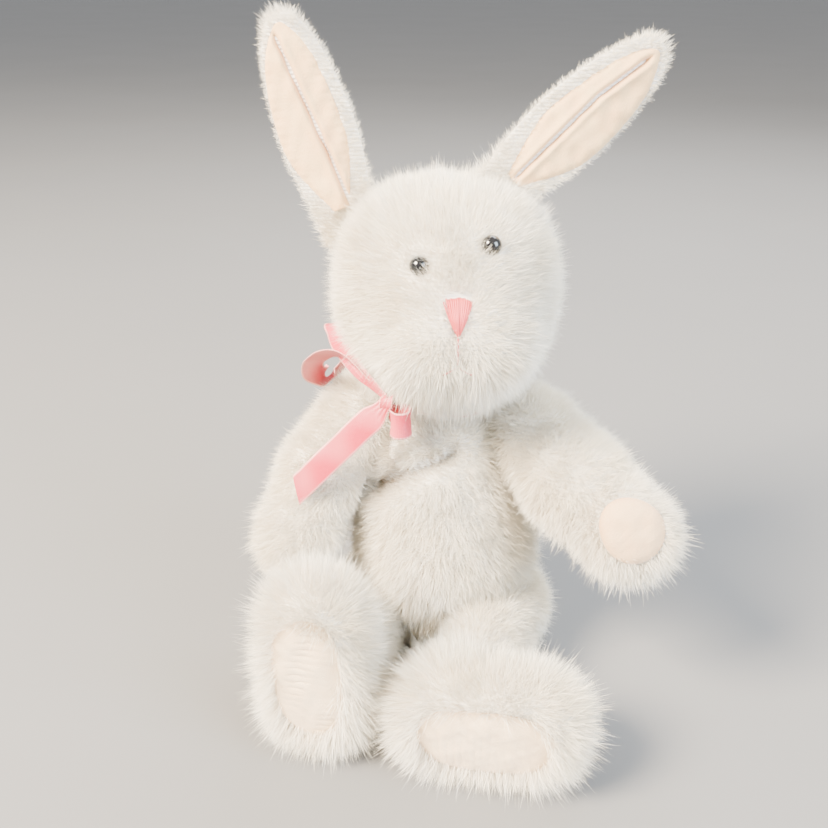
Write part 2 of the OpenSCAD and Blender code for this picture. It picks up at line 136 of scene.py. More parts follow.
def unit(v):
    """Vectors over their own lengths."""
    return v / np.maximum(np.linalg.norm(v, axis=-1, keepdims=True), 1e-9)


def smooth_step(x):
    """Zero up to 0, one from 1 on, and a cubic between them that starts and ends level."""
    x = np.clip(x, 0, 1)
    return x * x * (3 - 2 * x)


def bump(distance, width):
    """Bell curve: one at no distance, falling off over width."""
    return np.exp(-((distance / width) ** 2))


def join(a, b, k):
    """The lesser of two fields, rounded over k where they meet."""
    h = np.clip(0.5 + 0.5 * (b - a) / k, 0, 1)
    return b + (a - b) * h - k * h * (1 - h)


def cut(a, b, k):
    """The greater of two fields, rounded over k where they meet."""
    return -join(-a, -b, k)


def ball(p, centre, r):
    """Distance from a ball's surface: that from its centre, less its radius."""
    return np.linalg.norm(p - np.asarray(centre, float), axis=-1) - r


def taper(p, a, b, ra, rb):
    """Round-ended rod from a to b whose radius runs evenly from ra to rb."""
    a, b = np.asarray(a, float), np.asarray(b, float)
    d = b - a
    h = np.clip((p - a) @ d / (d @ d), 0, 1)
    return np.linalg.norm(p - a - h[..., None] * d, axis=-1) - (ra + (rb - ra) * h)


def near_line(p, line):
    """Distance from each point to a line of points, and how far along it that is, from 0 to 1."""
    line = np.asarray(line, float)
    best, along = np.full(p.shape[:-1], 1e9), np.zeros(p.shape[:-1])
    runs = np.linalg.norm(np.diff(line, axis=0), axis=1)
    total, done = runs.sum(), 0.0
    for a, b, run in zip(line[:-1], line[1:], runs, strict=True):
        d = b - a
        h = np.clip((p - a) @ d / (d @ d), 0, 1)
        r = np.linalg.norm(p - a - h[..., None] * d, axis=-1)
        along = np.where(r < best, (done + h * run) / total, along)
        best = np.minimum(best, r)
        done += run
    return best, along


def ripples(p, size, seed, waves=9):
    """Smooth unevenness from -1 to 1: a sum of sine waves in random directions, about size long."""
    r = np.random.default_rng(seed)
    ways = unit(r.normal(size=(waves, 3))) * TAU / (size * r.uniform(0.7, 1.5, (waves, 1)))
    phase = r.uniform(0, TAU, waves)
    return np.sin(p @ ways.T + phase).sum(-1) / math.sqrt(waves * 2)


# ---------- meshes ----------


def put_mesh(name, verts, faces, material, smooth=True):
    """A new object from points in millimetres and faces of one size, as index rows."""
    mesh = bpy.data.meshes.new(name)
    verts, faces = np.asarray(verts, float), np.asarray(faces, np.int32)
    corners = faces.shape[1]
    mesh.vertices.add(len(verts))
    mesh.vertices.foreach_set("co", (verts * MM).astype(np.float32).ravel())
    mesh.loops.add(faces.size)
    mesh.loops.foreach_set("vertex_index", faces.ravel())
    mesh.polygons.add(len(faces))
    mesh.polygons.foreach_set("loop_start", np.arange(0, faces.size, corners, dtype=np.int32))
    mesh.polygons.foreach_set("use_smooth", np.full(len(faces), smooth))
    mesh.update(calc_edges=True)
    mesh.materials.append(material)
    made = bpy.data.objects.new(name, mesh)
    bpy.context.scene.collection.objects.link(made)
    return made


def add_uv(made, uv, faces):
    """Gives a piece's corners the two numbers that its pattern follows."""
    layer = made.data.uv_layers.new(name="Pattern")
    layer.data.foreach_set("uv", uv[faces.ravel()].astype(np.float32).ravel())


def add_value(made, name, values):
    """Gives each of a piece's points a number for its material."""
    attribute = made.data.attributes.new(name, "FLOAT", "POINT")
    attribute.data.foreach_set("value", np.asarray(values, np.float32).ravel())


def grid_faces(rows, columns, wrap):
    """Four-cornered faces of a grid of points, row by row. wrap joins the last column to the first."""
    i = np.arange(rows - 1)[:, None]
    j = np.arange(columns if wrap else columns - 1)[None, :]
    k = (j + 1) % columns
    quads = np.stack([i * columns + j, i * columns + k, (i + 1) * columns + k, (i + 1) * columns + j], -1)
    return quads.reshape(-1, 4)


def close_poles(verts, faces, rows, columns):
    """Joins the first and last rows of a wrapped grid, whose points fall together, to one point each.
    A face at a pole then has three corners: its fourth repeats the pole and is left out."""
    keep = np.arange(rows * columns)
    keep[:columns] = 0
    keep[(rows - 1) * columns :] = (rows - 1) * columns
    used, index = np.unique(keep, return_inverse=True)
    return verts[used], index[faces]


def put_quads(name, verts, faces, material):
    """A new object from four-cornered faces, of which those at a pole have a doubled corner."""
    mesh = bpy.data.meshes.new(name)
    doubled = faces == np.roll(faces, -1, axis=1)
    rows = [f[~d].tolist() for f, d in zip(faces, doubled, strict=True)]
    mesh.from_pydata((np.asarray(verts) * MM).tolist(), [], rows)
    mesh.polygons.foreach_set("use_smooth", np.ones(len(mesh.polygons), bool))
    mesh.update()
    mesh.materials.append(material)
    made = bpy.data.objects.new(name, mesh)
    bpy.context.scene.collection.objects.link(made)
    return made


class Skin:
    """Where rays from a spine leave a soft field, on a grid of two parameters.

    The first parameter goes along the spine, and fans the rays over each end's pole. The second goes
    round the spine. Each ray's length is found by halving, from inside to outside the field."""

    def __init__(self, field, spine, across, reach, rows, columns, end_share=0.25):
        spine = np.asarray(spine, float)
        runs = np.concatenate([[0], np.cumsum(np.linalg.norm(np.diff(spine, axis=0), axis=1))])
        v = np.linspace(0, 1, rows)
        fan = np.clip(v / end_share, 0, 1) - np.clip((1 - v) / end_share, 0, 1)
        along = np.clip((v - end_share) / max(1 - 2 * end_share, 1e-6), 0, 1) * runs[-1]
        start = np.stack([np.interp(along, runs, spine[:, k]) for k in range(3)], -1)
        ahead = np.stack([np.interp(along + 0.5, runs, spine[:, k]) for k in range(3)], -1)
        behind = np.stack([np.interp(along - 0.5, runs, spine[:, k]) for k in range(3)], -1)
        axis = unit(ahead - behind) if runs[-1] > 0.5 else np.tile(unit(spine[-1] - spine[0]), (rows, 1))
        side = unit(np.asarray(across, float) - (axis @ np.asarray(across, float))[:, None] * axis)
        other = np.cross(axis, side)
        u = np.arange(columns) / columns * TAU
        round_it = np.cos(u)[None, :, None] * side[:, None] + np.sin(u)[None, :, None] * other[:, None]
        lean = fan * math.pi / 2
        rays = np.cos(lean)[:, None, None] * round_it + np.sin(lean)[:, None, None] * axis[:, None]
        start = np.repeat(start[:, None], columns, 1)
        low, high = np.zeros(rays.shape[:2]), np.full(rays.shape[:2], float(reach))
        for _ in range(26):
            middle = (low + high) / 2
            inside = field(start + middle[..., None] * rays) < 0
            low, high = np.where(inside, middle, low), np.where(inside, high, middle)
        self.rows, self.columns, self.field = rows, columns, field
        self.grid = start + ((low + high) / 2)[..., None] * rays
        self.verts, self.faces = close_poles(
            self.grid.reshape(-1, 3), grid_faces(rows, columns, True), rows, columns
        )
        self.normals = self.steepest(self.verts)

    def steepest(self, p, step=0.15):
        """The outward way at p, from the field's slope along each axis."""
        return unit(
            np.stack([self.field(p + step * e) - self.field(p - step * e) for e in np.eye(3)], -1)
        )

    def put(self, name, place, material):
        """The skin as a piece, its faces turned round where the place mirrors it."""
        flip = np.linalg.det(place.turn) < 0
        faces = self.faces if not flip else self.faces[:, ::-1]
        return put_quads(name, place.points(self.verts), faces, material)


# ---------- pile ----------


def tuft_centres(p, size, seed):
    """The nearest of many scattered points, one in each cube of a lattice: a hash of the cube's place
    shifts it from the middle. Strands that share one lean together."""
    cell = np.floor(p / size)
    best, nearest = np.full(len(p), 1e9), np.zeros_like(p)
    for shift in np.stack(np.meshgrid(*[[-1, 0, 1]] * 3, indexing="ij"), -1).reshape(-1, 3):
        c = cell + shift
        mix = np.sin(c @ np.array([12.9898, 78.233, 37.719]) + seed)[:, None]
        spot = (c + np.modf(np.abs(mix * np.array([43758.5453, 22578.1459, 19642.349])))[0]) * size
        d = np.linalg.norm(spot - p, axis=1)
        closer = d < best
        best[closer], nearest[closer] = d[closer], spot[closer]
    return nearest


def scatter(skin, weight, per_mm2, rng):
    """Roots spread over a skin's faces by area, thinned by weight, with their outward ways."""
    f = skin.faces
    tri = np.concatenate([f[:, [0, 1, 2]], f[:, [0, 2, 3]]])
    a, b, c = (skin.verts[tri[:, k]] for k in range(3))
    area = np.linalg.norm(np.cross(b - a, c - a), axis=1) / 2
    area = area * weight(a / 3 + b / 3 + c / 3)
    count = int(area.sum() * per_mm2)
    pick = rng.choice(len(tri), count, p=area / area.sum())
    s, t = rng.random((2, count, 1))
    s, t = np.where(s + t > 1, 1 - s, s), np.where(s + t > 1, 1 - t, t)
    roots = a[pick] + s * (b[pick] - a[pick]) + t * (c[pick] - a[pick])
    na, nb, nc = (skin.normals[tri[pick, k]] for k in range(3))
    return roots, unit(na + s * (nb - na) + t * (nc - na))


STRAND_FACES = np.array([[0, 1, 3], [0, 3, 2], [2, 3, 4]])
STRAND_ALONG = np.array([0, 0, 0.55, 0.55, 1.0])
ROOT_DEPTH = 0.25
GUARD_SHARE, GUARD_LENGTH = 0.1, 1.42
FLOOR_GAP = 0.05


def grow_pile(
    name, skin, place, body, *, length, comb, weight, per_mm2, seed, panels=None,
    width=0.105, tuft=1.6, gather=0.38, painted_crease_shade=None,
):
    """Covers a skin with standing pile, one piece for each sewn panel.

    A strand is a blade of two sections and a pointed end. It leaves the skin along the outward way
    plus the comb's way, wavers with smooth noise, and its end is drawn to its tuft's centre. A few
    guard strands are longer. The crease rule, from 0 to 1, is how far strands are darkened with painted
    shade along a seam's crease. panels are names, and a rule that gives each root the index of its panel."""
    rng = np.random.default_rng(seed)
    roots, out = scatter(skin, weight, per_mm2, rng)
    n = len(roots)
    combed = comb(roots, out)
    combed = combed - (combed * out).sum(1, keepdims=True) * out
    waver = np.stack([ripples(roots, 7.0, seed + k) for k in range(3)], -1) * 0.2
    fine = rng.normal(size=(n, 3)) * 0.27
    way = unit(out + combed + waver + fine)
    long = length(roots, out) * rng.uniform(0.7, 1.1, n) * (1 + 0.1 * ripples(roots, 4.5, seed + 5))
    long = long * np.where(rng.random(n) < GUARD_SHARE, GUARD_LENGTH, 1.0)
    pull = tuft_centres(roots, tuft, seed) - roots
    pull -= (pull * out).sum(1, keepdims=True) * out
    reach = long[:, None]
    middle = roots + way * reach * 0.55 + pull * gather * 0.35
    tip = roots + way * reach + combed * reach * 0.18 + pull * gather
    side = unit(np.cross(way, rng.normal(size=(n, 3))))
    thick = (width * rng.uniform(0.75, 1.2, n))[:, None]
    roots = roots - out * ROOT_DEPTH
    blades = np.stack(
        [
            roots - side * thick * 0.5,
            roots + side * thick * 0.5,
            middle - side * thick * 0.36,
            middle + side * thick * 0.36,
            tip,
        ],
        1,
    )
    blades = place.points(blades)
    blades[..., 2] = np.maximum(blades[..., 2], FLOOR_GAP + 0.12 * rng.random((n, 1)))
    # Each strand's own tone, darkened with painted shade along a seam's crease where the crease rule is
    # given.
    tone_and_painted_light = rng.uniform(0.4, 1, n) * (1 - (painted_crease_shade(roots) if painted_crease_shade else 0))
    corners = len(STRAND_ALONG)
    labels, panel = (panels[0], panels[1](roots)) if panels else (["all"], np.zeros(n, int))
    for k, label in enumerate(labels):
        chosen = np.flatnonzero(panel == k)
        first = corners * np.arange(len(chosen))[:, None, None]
        index = (STRAND_FACES[None] + first).reshape(-1, 3)
        piece = put_mesh(f"{name}_{label}", blades[chosen].reshape(-1, 3), index, PILE, False)
        add_value(piece, "along", np.tile(STRAND_ALONG, len(chosen)))
        add_value(piece, "tone_and_painted_light", np.repeat(tone_and_painted_light[chosen], corners))
        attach(piece, body)


def by_halves(axis):
    """Two panels that meet at the middle of an axis: below zero, then above."""
    return lambda p: (p[:, axis] > 0).astype(int)


# ---------- materials ----------


def new_material(name, colour, **values):
    """A material with one Principled shader. values are its sockets' names and constants."""
    material = bpy.data.materials.new(name)
    material.use_nodes = True
    material.diffuse_color = (*colour, 1)
    shader = material.node_tree.nodes["Principled BSDF"]
    shader.inputs["Base Color"].default_value = (*colour, 1)
    for socket, value in values.items():
        shader.inputs[socket.replace("_", " ")].default_value = value
    return material, material.node_tree, shader


def node(tree, kind, inputs=None, **settings):
    """A node of that kind. An input that is a socket is linked, and any other is its value."""
    made = tree.nodes.new(kind)
    for key, value in settings.items():
        setattr(made, key, value)
    for key, value in (inputs or {}).items():
        if isinstance(value, bpy.types.NodeSocket):
            tree.links.new(value, made.inputs[key])
        else:
            made.inputs[key].default_value = value
    return made


def noise(tree, where, scale, detail=3.0, rough=0.55):
    """Noise of scale waves a metre, at the coordinates of where."""
    return node(
        tree, "ShaderNodeTexNoise", {"Vector": where, "Scale": scale, "Detail": detail, "Roughness": rough}
    ).outputs["Fac"]


def ramp(tree, fac, stops):
    """Colours spread over a value, from (place, colour) pairs."""
    made = node(tree, "ShaderNodeValToRGB", {"Fac": fac})
    elements = made.color_ramp.elements
    for k, (place, colour) in enumerate(stops):
        element = elements[k] if k < 2 else elements.new(place)
        element.position, element.color = place, (*colour, 1)
    return made.outputs["Color"]


def blend_colours(tree, fac, a, b, way="MIX"):
    """Colours a and b mixed by fac, each a socket or a colour."""
    made = node(tree, "ShaderNodeMix", data_type="RGBA", blend_type=way)
    for socket, value in ((0, fac), (6, a), (7, b)):
        if isinstance(value, bpy.types.NodeSocket):
            tree.links.new(value, made.inputs[socket])
        else:
            made.inputs[socket].default_value = value if socket == 0 else (*value, 1)
    return made.outputs[2]


def maths(tree, operation, a, b=0.5, c=0.5):
    """One sum of sockets or numbers."""
    made = node(tree, "ShaderNodeMath", operation=operation)
    for k, value in enumerate((a, b, c)):
        if isinstance(value, bpy.types.NodeSocket):
            tree.links.new(value, made.inputs[k])
        else:
            made.inputs[k].default_value = value
    return made.outputs[0]


def own_coordinates(tree):
    """A piece's own coordinates, in metres."""
    return node(tree, "ShaderNodeTexCoord").outputs["Object"]


def value_of(tree, name):
    """The number that a piece's points carry by that name."""
    return node(tree, "ShaderNodeAttribute", attribute_name=name).outputs["Fac"]


def raise_surface(tree, shader, height, depth):
    """Bump of that depth in metres from a height between 0 and 1."""
    made = node(tree, "ShaderNodeBump", {"Height": height, "Distance": depth, "Strength": 1.0})
    tree.links.new(made.outputs["Normal"], shader.inputs["Normal"])


def pile_material():
    """Ivory acrylic pile: warmer at the root, whiter at the end, each strand its own tone, and painted
    shade, a dark brown, on strands along a crease.
    """
    material, tree, shader = new_material(
        "ivory_pile", (0.9, 0.87, 0.82), Roughness=0.62, Sheen_Weight=0.25, Sheen_Roughness=0.4
    )
    patches = noise(tree, own_coordinates(tree), 60.0)
    body = ramp(tree, patches, [(0.3, (0.97, 0.9, 0.73)), (0.7, (0.98, 0.95, 0.87))])
    rooted = blend_colours(tree, value_of(tree, "along"), (0.94, 0.86, 0.72), body)
    # Each strand's own tone runs from near white to white. Lower values, down to dark brown, are painted
    # shade along a crease.
    tone_and_crease_shade = ramp(
        tree, value_of(tree, "tone_and_painted_light"),
        [(0.0, (0.36, 0.25, 0.14)), (0.4, (0.9, 0.89, 0.87)), (1.0, (1.0, 1.0, 1.0))],
    )
    tree.links.new(blend_colours(tree, 1.0, rooted, tone_and_crease_shade, "MULTIPLY"), shader.inputs["Base Color"])
    return material


def backing_material():
    """Knitted backing under the pile: fine rows of loops in ivory."""
    material, tree, shader = new_material("knitted_backing", (0.9, 0.87, 0.81), Roughness=0.85)
    where = own_coordinates(tree)
    rows = node(
        tree, "ShaderNodeTexWave", {"Vector": where, "Scale": 320.0, "Distortion": 2.0, "Detail": 2.0},
        bands_direction="Z",
    ).outputs["Fac"]
    tone = blend_colours(tree, noise(tree, where, 90.0), (0.86, 0.82, 0.75), (0.93, 0.91, 0.86))
    dim = ramp(tree, rows, [(0.0, (0.9, 0.89, 0.87)), (1.0, (1.0, 1.0, 1.0))])
    tree.links.new(blend_colours(tree, 1.0, tone, dim, "MULTIPLY"), shader.inputs["Base Color"])
    raise_surface(tree, shader, rows, 0.0002)
    return material


def velour_material(name, light, deep):
    """Short velour: mottled nap, fine fibre grain, and painted shade, darker and browner, in its folds and
    where its edge turns under.
    """
    material, tree, shader = new_material(
        name, light, Roughness=0.78, Sheen_Weight=0.5, Sheen_Roughness=0.5
    )
    where = own_coordinates(tree)
    nap = noise(tree, where, 160.0, 4.0)
    grain = noise(tree, where, 2600.0, 2.0)
    tone = blend_colours(tree, ramp(tree, nap, [(0.3, (0, 0, 0)), (0.7, (1, 1, 1))]), deep, light)
    speck = ramp(tree, grain, [(0.25, (0.9, 0.88, 0.86)), (0.75, (1.0, 1.0, 1.0))])
    tone = blend_colours(tree, 1.0, tone, speck, "MULTIPLY")
    # Painted shade: a warm brown darkening where the piece's fold value is high, in folds and at
    # turned-under edges.
    fold_and_painted_shade = ramp(tree, value_of(tree, "fold_and_painted_shade"), [(0.0, (1, 1, 1)), (1.0, (0.62, 0.46, 0.34))])
    tree.links.new(blend_colours(tree, 1.0, tone, fold_and_painted_shade, "MULTIPLY"), shader.inputs["Base Color"])
    height = maths(tree, "MULTIPLY_ADD", grain, 0.6, maths(tree, "MULTIPLY", nap, 0.8))
    raise_surface(tree, shader, height, 0.00025)
    return material


def satin_material():
    """Pink satin ribbon: fine warp threads along it, ribs across, broad bands of painted highlight, and
    paler woven edges that are dotted by their stitches."""
    material, tree, shader = new_material(
        "pink_satin", (0.66, 0.06, 0.09), Roughness=0.3, Anisotropic=0.5
    )
    pattern = node(tree, "ShaderNodeUVMap", uv_map="Pattern").outputs["UV"]
    parts = node(tree, "ShaderNodeSeparateXYZ", {"Vector": pattern})
    across, run = parts.outputs["X"], parts.outputs["Y"]
    edge = maths(tree, "ABSOLUTE", maths(tree, "SUBTRACT", across, 0.5))
    selvedge = ramp(tree, edge, [(0.42, (0, 0, 0)), (0.455, (1, 1, 1))])
    ribs = maths(tree, "SINE", maths(tree, "MULTIPLY", run, 14000.0))
    drawn_out = node(tree, "ShaderNodeMapping", {"Vector": pattern, "Scale": (60.0, 900.0, 1.0)})
    warp = noise(tree, drawn_out.outputs[0], 1.0, 2.0)
    tone_and_painted_light = ramp(tree, warp, [(0.3, (0.52, 0.03, 0.06)), (0.7, (0.64, 0.055, 0.09))])
    # Painted highlight: broad lighter pink bands along the ribbon and over its width, in place of the
    # satin's sheen.
    highlight_waves = maths(tree, "SINE", maths(tree, "MULTIPLY", run, 420.0))
    highlight_sweep = maths(tree, "ADD", highlight_waves, maths(tree, "MULTIPLY", across, 1.6))
    highlight_sweep = maths(tree, "MULTIPLY_ADD", highlight_sweep, 0.25, 0.4)
    painted_highlight = ramp(tree, highlight_sweep, [(0.35, (0, 0, 0)), (0.85, (0.4, 0.4, 0.4))])
    tone_and_painted_light = blend_colours(tree, painted_highlight, tone_and_painted_light, (0.86, 0.24, 0.27))
    stitch = maths(tree, "SINE", maths(tree, "MULTIPLY", run, 9000.0))
    dotted = maths(tree, "MULTIPLY", selvedge, maths(tree, "MULTIPLY_ADD", stitch, 0.3, 0.65))
    tree.links.new(blend_colours(tree, dotted, tone_and_painted_light, (0.95, 0.5, 0.46)), shader.inputs["Base Color"])
    height = maths(tree, "MULTIPLY_ADD", ribs, maths(tree, "MULTIPLY_ADD", edge, 0.8, 0.08), warp)
    raise_surface(tree, shader, height, 0.00006)
    return material


def thread_material():
    """Glossy pink embroidery thread, twisted: fine slanting plies."""
    material, tree, shader = new_material("pink_thread", (0.7, 0.09, 0.1), Roughness=0.42)
    where = own_coordinates(tree)
    plies = node(
        tree, "ShaderNodeTexWave", {"Vector": where, "Scale": 900.0, "Distortion": 1.5, "Detail": 1.0},
        bands_direction="DIAGONAL",
    ).outputs["Fac"]
    tone = blend_colours(tree, noise(tree, where, 500.0), (0.6, 0.06, 0.07), (0.78, 0.14, 0.14))
    dim = ramp(tree, plies, [(0.0, (0.84, 0.8, 0.8)), (1.0, (1.0, 1.0, 1.0))])
    tree.links.new(blend_colours(tree, 1.0, tone, dim, "MULTIPLY"), shader.inputs["Base Color"])
    raise_surface(tree, shader, plies, 0.00004)
    return material


def hard_material(name, dark, light, scale, depth, **values):
    """A moulded part's finish: faint mottling and a slight orange-peel of that depth."""
    material, tree, shader = new_material(name, light, **values)
    where = own_coordinates(tree)
    cloudy = noise(tree, where, scale, 4.0)
    tree.links.new(blend_colours(tree, cloudy, dark, light), shader.inputs["Base Color"])
    raise_surface(tree, shader, noise(tree, where, scale * 6), depth)
    return material


def floor_material():
    """Matt sheet with the faintest unevenness."""
    material, tree, shader = new_material("pale_floor", (0.17, 0.17, 0.168), Roughness=0.8)
    cloudy = noise(tree, own_coordinates(tree), 6.0)
    tone = blend_colours(tree, cloudy, (0.16, 0.158, 0.155), (0.18, 0.178, 0.175))
    tree.links.new(tone, shader.inputs["Base Color"])
    return material


PILE = pile_material()
BACKING = backing_material()
LINING = velour_material("peach_velour", (0.88, 0.6, 0.3), (0.84, 0.51, 0.24))
PAD_CREAM = velour_material("cream_velour", (0.92, 0.74, 0.5), (0.88, 0.66, 0.42))
PAD_PEACH = velour_material("peach_suede", (0.88, 0.6, 0.33), (0.82, 0.52, 0.28))
SATIN = satin_material()
THREAD = thread_material()
BEAD = hard_material("black_bead", (0.004, 0.004, 0.005), (0.012, 0.011, 0.01), 300.0, 0.000004,
                     Roughness=0.06, Coat_Weight=0.6, Coat_Roughness=0.03)
NYLON = hard_material("white_nylon", (0.72, 0.71, 0.67), (0.82, 0.81, 0.77), 120.0, 0.00002, Roughness=0.45)


# ---------- torso ----------

CHEST_DART = [(-16, -13.5, 53), (-12.5, -16.2, 55.6), (-6.4, -18, 60.2), (0.6, -18, 63.4), (4.6, -16, 66.2)]
CHEST_FOLD = [(-11.2, -11.0, 67.5), (-9.8, -14.3, 64.0), (-7.6, -17.2, 60.0)]


def chest_seams(p):
    """Distance, seen from the front, to the nearer of the chest's dart and its short fold. Towards
    the back it grows, so that only the front has them."""
    from_front = np.array([1.0, 0, 1.0])
    dart = near_line(p * from_front, np.array(CHEST_DART) * from_front)[0]
    short = near_line(p * from_front, np.array(CHEST_FOLD) * from_front)[0]
    return np.minimum(dart, short + 0.6) + 8 * smooth_step((p[..., 1] + 6) / 4)


def past_shoulder(p):
    """How far a point is past the slanted flats that the arms' discs pull into the torso."""
    tilt = math.radians(ARM_TILT)
    return np.abs(p[..., 0]) * math.cos(tilt) + p[..., 2] * math.sin(tilt) - SHOULDER_FLAT + 0.3


def torso_radius(z):
    """Radius of the torso at a height: fullest at the belly, in by a power towards seat and neck."""
    t = np.clip(z / TORSO_H, 0, 1)
    low = BELLY_R - (BELLY_R - SEAT_R) * (np.clip(BELLY_AT - t, 0, 1) / BELLY_AT) ** 2.2
    high = BELLY_R - (BELLY_R - NECK_R) * (np.clip(t - BELLY_AT, 0, 1) / (1 - BELLY_AT)) ** 1.9
    return np.where(t < BELLY_AT, low, high)


def torso_field(p):
    """Turned belly, closed at the seat and neck, flat where the limbs' discs pull it in, with a dart
    sewn across the chest."""
    x, y, z = p[..., 0], p[..., 1], p[..., 2]
    f = np.hypot(x, y) - torso_radius(z) + 1.2
    f = cut(f, z - TORSO_H + 0.8, 5)
    f = cut(f, 0.9 - z, 4)
    f = cut(f, past_shoulder(p), 2.5)
    lift = math.radians(5)
    pocket_r = HIP_R + 0.7
    swept = np.hypot(y, z - HIP_Z) - pocket_r
    above = (z - HIP_Z) * math.cos(lift) + y * math.sin(lift) - pocket_r
    below = np.where(y < pocket_r, above, swept)
    pocket = np.minimum(swept, np.where((y < 0) | (z < HIP_Z), below, 99))
    wall = np.abs(x) - HIP_FLAT + 0.3
    f = cut(f, -cut(-wall, pocket, 2.5), 2.5)
    f = f + 3.4 * bump(chest_seams(p), 1.7) - 1.3 * bump(chest_seams(p) - 4.5, 3.0) * (y < 0)
    return f + 0.35 * ripples(p, 14.0, 41)


torso_skin = Skin(torso_field, [(0, 0, 30), (0, 0, 34)], (1, 0, 0), 60, 120, 144, 0.47)
torso_body = torso_skin.put("torso_plush", TORSO, BACKING)
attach(torso_body, "torso")
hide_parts("torso_skin", "torso_filling")


def torso_weight(p):
    """Little pile on the flats, in the pockets and under the chin, and a parting at the seams."""
    x, y, z = p[..., 0], p[..., 1], p[..., 2]
    bare = (past_shoulder(p) > -0.5) & (np.abs(y) < 10)
    pocket = (np.abs(x) > HIP_FLAT - 1) & (np.hypot(y, z - HIP_Z) < HIP_R - 1)
    parted = 1 - 0.75 * bump(chest_seams(p), 0.9)
    return np.where(bare | pocket, 0.12, 1.0) * parted * np.where(z > 77.6, 0.1, 1)


def torso_length(p, out):
    """Shorter at the chest's seams and under the seat."""
    under = smooth_step((6 - p[:, 2]) / 5)
    return 4.6 * (1 - 0.8 * bump(chest_seams(p), 2.0)) * (1 - 0.4 * under)


def torso_comb(p, out):
    """Combed lightly down, up at the neck, and away from the chest's seams on both sides."""
    down = np.array([0, 0, -0.3]) + 0 * p
    up = smooth_step((p[:, 2] - 66) / 8)[:, None] * np.array([0, -0.1, 0.9])
    step = 0.4
    slope = np.stack(
        [chest_seams(p + step * e) - chest_seams(p - step * e) for e in np.eye(3)], -1
    ) / (2 * step)
    return down + up + 0.7 * slope * bump(chest_seams(p), 2.6)[:, None]


# The torso's strands carry painted shade along the chest's dart and fold, where the pile parts.
grow_pile(
    "torso_pile", torso_skin, TORSO, "torso", length=torso_length,
    comb=torso_comb, weight=torso_weight, per_mm2=11.5, seed=11,
    painted_crease_shade=lambda p: 0.98 * bump(chest_seams(p), 2.1),
    panels=(["front", "back"], by_halves(1)),
)


# ---------- head ----------

HEAD_MID = np.array([-0.8, 0, 108])
MUZZLE = np.array([0.5, -21, 105])
EYE_AT = {LEFT: np.array([8.8, -24.1, 126.5]), RIGHT: np.array([-8.4, -25.7, 122])}
NOSE_AT = np.array([0.5, -36.2, 112.6])
EYE_SWELL = {LEFT: 2.4, RIGHT: 1.6}


def head_field(p):
    """Squarish crown over a rounder jaw, with two muzzle puffs, a groove between them and a hollow
    round each eye."""
    q = p - HEAD_MID
    r = np.hypot(q[..., 0], q[..., 1])
    up = np.clip(q[..., 2], 0, None) / 28
    down = np.clip(-q[..., 2], 0, None) / 33
    crown = (np.clip(r / 28, 0, None) ** 2.6 + up**2.6) ** (1 / 2.6)
    jaw = np.sqrt((r / 28) ** 2 + down**2)
    f = (np.where(q[..., 2] > 0, crown, jaw) - 1) * 28 + 1.3
    f = cut(f, 78.6 - p[..., 2], 5)
    snout = ball(p, MUZZLE, 14.6)
    for s in SIDES:
        snout = join(snout, ball(p, MUZZLE + np.array([5.2 * s, -1.2, -2.5]), 12.6), 3)
    f = join(f, snout, 7)
    groove, _ = near_line(p, [NOSE_AT + np.array([0, 0, -3]), (0.5, -36.5, 103), (0.5, -33, 94)])
    f = f + 1.3 * bump(groove, 1.8)
    for s in SIDES:
        far = np.linalg.norm(p - EYE_AT[s], axis=-1)
        f = f - EYE_SWELL[s] * bump(far, 9.0) + 0.7 * bump(far, 3.2)
    f = f + 0.5 * bump(np.linalg.norm(p - NOSE_AT, axis=-1), 4.5)
    return f + 0.35 * ripples(p, 15.0, 42)


head_skin = Skin(head_field, [(0, -3, 106), (0, -3, 110)], (1, 0, 0), 60, 130, 150, 0.47)
head_body = head_skin.put("head_plush", HEAD, BACKING)
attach(head_body, "head")
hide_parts("head_skin", "head_filling")


def head_weight(p):
    """Bare round the beads and under the nose, and on the flat over the neck."""
    w = np.where((p[..., 2] < 79.6) & (np.hypot(p[..., 0], p[..., 1]) < 13), 0.1, 1.0)
    for s in SIDES:
        w = w * (1 - bump(np.linalg.norm(p - EYE_AT[s], axis=-1), 2.1))
    q = p - NOSE_AT
    nose = (np.abs(q[..., 0]) < 2.2 + 0.22 * q[..., 2]) & (np.abs(q[..., 2]) < 4) & (q[..., 1] < 6)
    return np.where(nose, 0.0, w)


def head_length(p, out):
    """Shorter at the beads, nose and muzzle, longer under the chin."""
    near_eye = sum(bump(np.linalg.norm(p - EYE_AT[s], axis=-1), 5.5) for s in SIDES)
    near_nose = bump(np.linalg.norm(p - NOSE_AT, axis=-1), 7.0)
    muzzle = bump(np.linalg.norm(p - NOSE_AT - np.array([0, 3, -9]), axis=-1), 9.0)
    chin = smooth_step((96 - p[:, 2]) / 10)
    return 5.0 * (1 - 0.35 * near_eye) * (1 - 0.55 * near_nose) * (1 - 0.2 * muzzle) * (1 + 0.3 * chin)


def head_comb(p, out):
    """Combed a little away from the nose, and over each bead from above."""
    away = unit(p - NOSE_AT) * 0.25
    away = away + smooth_step((98 - p[:, 2]) / 10)[:, None] * np.array([0, -0.1, -0.55])
    for s in SIDES:
        d = p - EYE_AT[s]
        over = np.where(d[:, 2:3] > -0.5, -0.55, 0.35) * unit(d)
        away = away + over * bump(np.linalg.norm(d, axis=1), 3.6)[:, None]
    return away


grow_pile(
    "head_pile", head_skin, HEAD, "head", length=head_length, comb=head_comb, weight=head_weight,
    per_mm2=12, seed=12,
    panels=(
        ["cheek_right", "cheek_left", "back_right", "back_left"],
        lambda p: 2 * (p[:, 1] > 0) + (p[:, 0] > 0.5),
    ),
)


